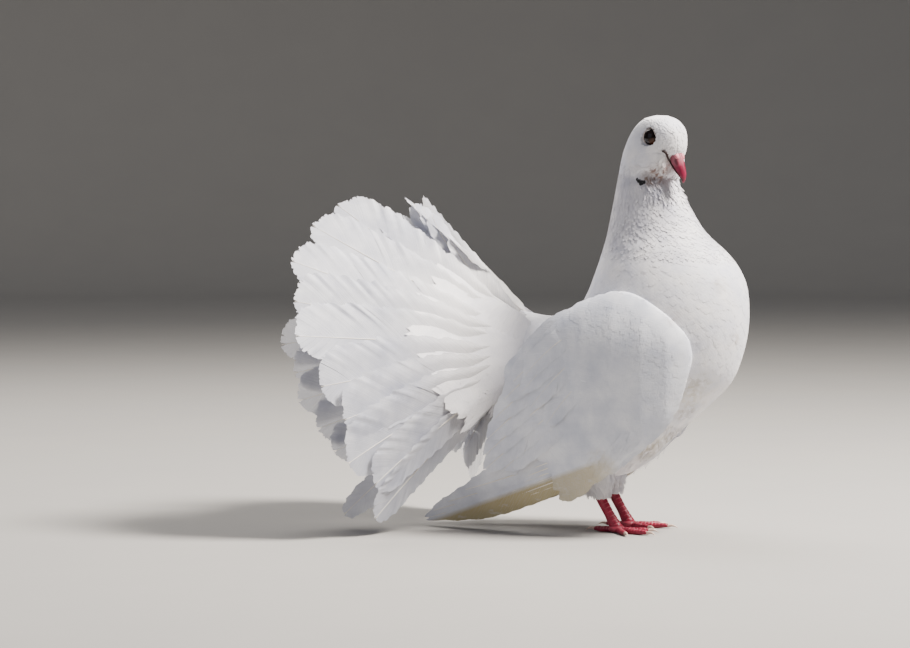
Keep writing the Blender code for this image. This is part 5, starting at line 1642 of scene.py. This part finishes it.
small_piece("mouth_corners", corners, MOUTH_PAINTED_SHADE, [], "pink_bill")

# %% [markdown]
# A pigeon's leg is clad in scutes: horny plates that lap like tiles down the front of the shank
# and over the top of each toe. A toe is a tube on a line, and its radius swells over each plate
# and drops at the plate's edge. The sole is pressed flat on the floor, and the claws are horns.

# %% Scutes
TUBE_ROWS = 3.6               # rows for each millimetre of a scaled tube
SCUTE_DEPTH = 0.34
SHANK_PITCH = 3.0             # length of one scute on the shank
TOE_PITCH = 2.4               # and on a toe


def scaled_tube(path, radii, pitch, around, floor=True):
    """A tube with scutes: its radius rises over each pitch and drops at the next scute's edge.
    The fourth value says where an edge is, for the finish."""
    path, radii = np.asarray(path, float), np.asarray(radii, float)
    steps = np.concatenate([[0], np.cumsum(np.linalg.norm(np.diff(path, axis=0), axis=1))])
    rows = max(12, int(steps[-1] * TUBE_ROWS))
    x = np.linspace(0, steps[-1], rows)
    line = np.stack([np.interp(x, steps, path[:, k]) for k in range(3)], -1)
    radius = np.interp(x, steps, radii)[:, None]
    way = unit(np.gradient(line, axis=0))
    level = Z_WAY if abs(way[0, 2]) < 0.7 else X_WAY
    side = unit(np.cross(way, level))
    top = np.cross(side, way)
    angle = turns(around)[None, :]
    front = np.clip(np.sin(angle), 0, 1) ** 0.5
    share = (x[:, None] / pitch) % 1.0
    edge = np.exp(-((share - 0.94) / 0.09) ** 2) * front
    small = np.sin(angle * 7) * np.sin(x[:, None] * 5.0) * (1 - front)
    radius = radius + SCUTE_DEPTH * (share * 0.6 - edge * 1.2) * front + 0.07 * small
    ring = line[:, None] + side[:, None] * (np.cos(angle) * radius)[..., None] + top[:, None] * (
        np.sin(angle) * radius)[..., None]
    if floor:
        ring[..., 2] = np.maximum(ring[..., 2], 0.0)
    shade = np.clip(edge + 0.25 * np.clip(small, 0, 1), 0, 1) * 0.8
    return (*tube_body(ring), np.concatenate([shade.ravel(), (0.3, 0.3)]))


CLAW_ROWS = 20
CLAW_AROUND = 16


def claw(hub, ahead, length):
    """A horn past the toe's end: its line runs ahead and arches, rising by a sine and falling by a
    square, and its radius shrinks with the power 0.8 of what is left."""
    s = np.linspace(0, 1, CLAW_ROWS)[:, None]
    rise = 1.7 + 0.9 * np.sin(s * 2.6) - 1.75 * s ** 2
    line = hub + ahead * (length - 0.4 + s * (CLAW_LENGTH + 1.0)) + Z_WAY * rise
    angle = turns(CLAW_AROUND)[None, :, None]
    radius = (1.15 * (1 - s) ** 0.8 + 0.08)[:, None]
    flat = np.array((-ahead[1], ahead[0], 0.0))
    ring = line[:, None] + flat * np.cos(angle) * radius + Z_WAY * np.sin(angle) * radius
    ring[..., 2] = np.maximum(ring[..., 2], 0.0)
    return tube_body(ring)


print("about", round(TOES[1][2] / TOE_PITCH), "scutes on the middle toe")


# %% Feet
# Radii along the shank and its bend into the foot, and along a toe, as shares of the measured ones
SHANK_RADII = SHANK_RADIUS * np.array((1.05, 1.0, 0.95, 1.15, 1.25, 1.1))
TOE_RADII = TOE_RADIUS * np.array((0.96, 0.94, 0.97, 0.96, 0.88, 0.86, 0.76, 0.5))
TOE_HEIGHTS = TOE_RADIUS * (0.92 + 0.10 * np.sin(np.linspace(0, 3 * math.pi, len(TOE_RADII))))

for side_name, side in SIDES.items():
    y = side * LEG_SIDE
    hock, ankle = np.array((HOCK[0], y, HOCK[1])), np.array((ANKLE[0], y, ANKLE[1]))
    hub = np.array((ANKLE[0] + 1.6, y, 0.0))
    line = [hock + np.array((-0.6, 0, 1.5)), hock + unit(ankle - hock) * 3, hock + (ankle - hock) * 0.6,
            ankle, ankle + np.array((1.2, 0, -2.2)), ankle + np.array((2.0, 0, -4.4))]
    shank = scaled_tube(line, SHANK_RADII, SHANK_PITCH, 32, floor=False)
    radii = (PAD_HEIGHT, PAD_RADIUS, PAD_RADIUS)
    pad = tube_body(swelling(hub + Z_WAY * PAD_HEIGHT, Z_WAY, X_WAY, Y_WAY, radii, 20, 32, 0.03))
    small_piece(f"shank_{side_name}_scutes", [shank, pad], LEG_SKIN, [f"shank_{side_name}"],
                "red_leg_scales", 0.25)
    for toe_name, turn, length in TOES:
        heading = math.radians(turn + FOOT_TURN[side_name])
        ahead = np.array((math.cos(heading), side * math.sin(heading), 0.0))
        places = np.linspace(PAD_RADIUS * 0.8, length, len(TOE_RADII))
        path = hub + ahead * places[:, None] + Z_WAY * TOE_HEIGHTS[:, None]
        toe = scaled_tube(path, TOE_RADII, TOE_PITCH, 24)
        toe_node = f"toe_{side_name}_{toe_name}"
        small_piece(f"{toe_node}_scutes", [toe], LEG_SKIN, [toe_node], "red_leg_scales")
        claw_node = f"claw_{side_name}_{toe_name}"
        small_piece(f"{claw_node}_horn", [claw(hub, ahead, length)], CLAW_HORN, [claw_node], "horn_claw")

# %% [markdown]
# A plain pale floor turns up into a wall far away on all sides, like a round studio cove, so
# the bird can be seen from anywhere. A large soft key light stands on the breast's side, with
# a cool fill near the camera and a light behind that draws the edges of the tail.

# %% Floor
FLOOR_RADIUS = 3600.0
COVE = 900.0                  # radius of the round turn from floor to wall
WALL = 2400.0                 # height of the wall over it
FLOOR_AROUND = 96
PAPER_PATCH = 90.0            # broad, barely seen clouds in the paper, in millimetres
flat = np.linspace(0.02, 1, 14) * FLOOR_RADIUS
curve = np.linspace(0, math.pi / 2, 20)[1:]
reach = np.concatenate([flat, FLOOR_RADIUS + COVE * np.sin(curve), [FLOOR_RADIUS + COVE]])
height = np.concatenate([flat * 0, COVE * (1 - np.cos(curve)), [COVE + WALL]])
angle = turns(FLOOR_AROUND)[None, :]
points = np.stack([reach[:, None] * np.cos(angle), reach[:, None] * np.sin(angle),
                   height[:, None] + 0 * angle], -1)
# Studio paper: matt wood pulp, coloured right through, which takes a shadow and gives no gleam
FLOOR_FINISH = plain_finish("matt_pale_studio_paper", 0.9, "a09e9a", "9b9996", PAPER_PATCH)
quads = grid_faces(len(reach), FLOOR_AROUND)
first = np.arange(FLOOR_AROUND)
fan = np.stack([first, (first + 1) % FLOOR_AROUND, np.full(FLOOR_AROUND, points.size // 3)], -1)
points = np.concatenate([points.reshape(-1, 3), np.zeros((1, 3))]) - SHIFT
floor = mesh_piece("floor", points, quads[:, ::-1], fan, materials=[FLOOR_FINISH])

# %% Lights
MIDDLE = 130.0                # height of the bird's middle over the floor


def area_light(name, azimuth, elevation, distance, size, power, colour):
    """A square soft light aimed at the bird's middle from an azimuth and elevation in degrees, a
    distance in millimetres away, with its size in metres and its power in watts."""
    lamp = bpy.data.lights.new(name, "AREA")
    lamp.size = size
    lamp.energy = power
    lamp.color = srgb(colour)[:3]
    made = bpy.data.objects.new(name, lamp)
    bpy.context.scene.collection.objects.link(made)
    a, e = math.radians(azimuth), math.radians(elevation)
    toward = np.array((math.sin(a) * math.cos(e), -math.cos(a) * math.cos(e), math.sin(e)))
    made.location = (Z_WAY * MIDDLE + toward * distance) * MM
    made.rotation_euler = type(made.location)(-toward).to_track_quat("-Z", "Y").to_euler()
    print(name, "light at", [round(v, 2) for v in made.location], "m")


area_light("key", 95, 54, 1600, 0.5, 124, "fff7ee")
area_light("fill", -30, 20, 2000, 1.6, 6, "e2eaff")
area_light("back_rim", 215, 50, 1700, 1.0, 30, "fff8f0")
world = bpy.data.worlds.new("soft_room")
bpy.context.scene.world = world
world.use_nodes = True
room_light = world.node_tree.nodes["Background"].inputs
room_light["Color"].default_value = srgb("d8e2f4")
room_light["Strength"].default_value = 0.25

# %% [markdown]
# A photograph is matched by its camera. The bird's scale gives the width that the picture shows,
# and a long lens far away keeps the true proportions. A point of the bird that was found in the
# photograph is then moved to its own pixel by aiming the camera beside it.

# %% Camera
PHOTO_WIDTH = 910
PHOTO_HEIGHT = 648
PIXEL = 0.66                  # millimetres of the bird for each pixel of the photograph
CAMERA_AZIMUTH = math.radians(15)
CAMERA_RISE = math.radians(3)
DISTANCE = 2300.0             # from the camera to the bird, in millimetres
SENSOR = 36.0
LOOK = np.array((-40.0, 0.0, 130.0))
LOOK_PIXEL = (541.5, 331.0)   # where that point is in the photograph
right = np.array((math.cos(CAMERA_AZIMUTH), math.sin(CAMERA_AZIMUTH), 0))
level = np.array((math.sin(CAMERA_AZIMUTH), -math.cos(CAMERA_AZIMUTH), 0))
toward = level * math.cos(CAMERA_RISE) + Z_WAY * math.sin(CAMERA_RISE)
up = np.cross(toward, right)
beside = (PHOTO_WIDTH / 2 - LOOK_PIXEL[0]) * PIXEL
above = (LOOK_PIXEL[1] - PHOTO_HEIGHT / 2) * PIXEL
target = LOOK + right * beside + up * above
lens = bpy.data.cameras.new("camera")
lens.sensor_width = SENSOR
lens.lens = SENSOR * DISTANCE / (PHOTO_WIDTH * PIXEL)
lens.clip_end = 50.0
camera = bpy.data.objects.new("camera", lens)
bpy.context.scene.collection.objects.link(camera)
camera.location = (LOOK + toward * DISTANCE + SHIFT) * MM
aim = (target - LOOK - toward * DISTANCE) * MM
camera.rotation_euler = type(camera.location)(aim).to_track_quat("-Z", "Y").to_euler()
bpy.context.scene.camera = camera
print("camera lens", round(lens.lens, 1), "mm")
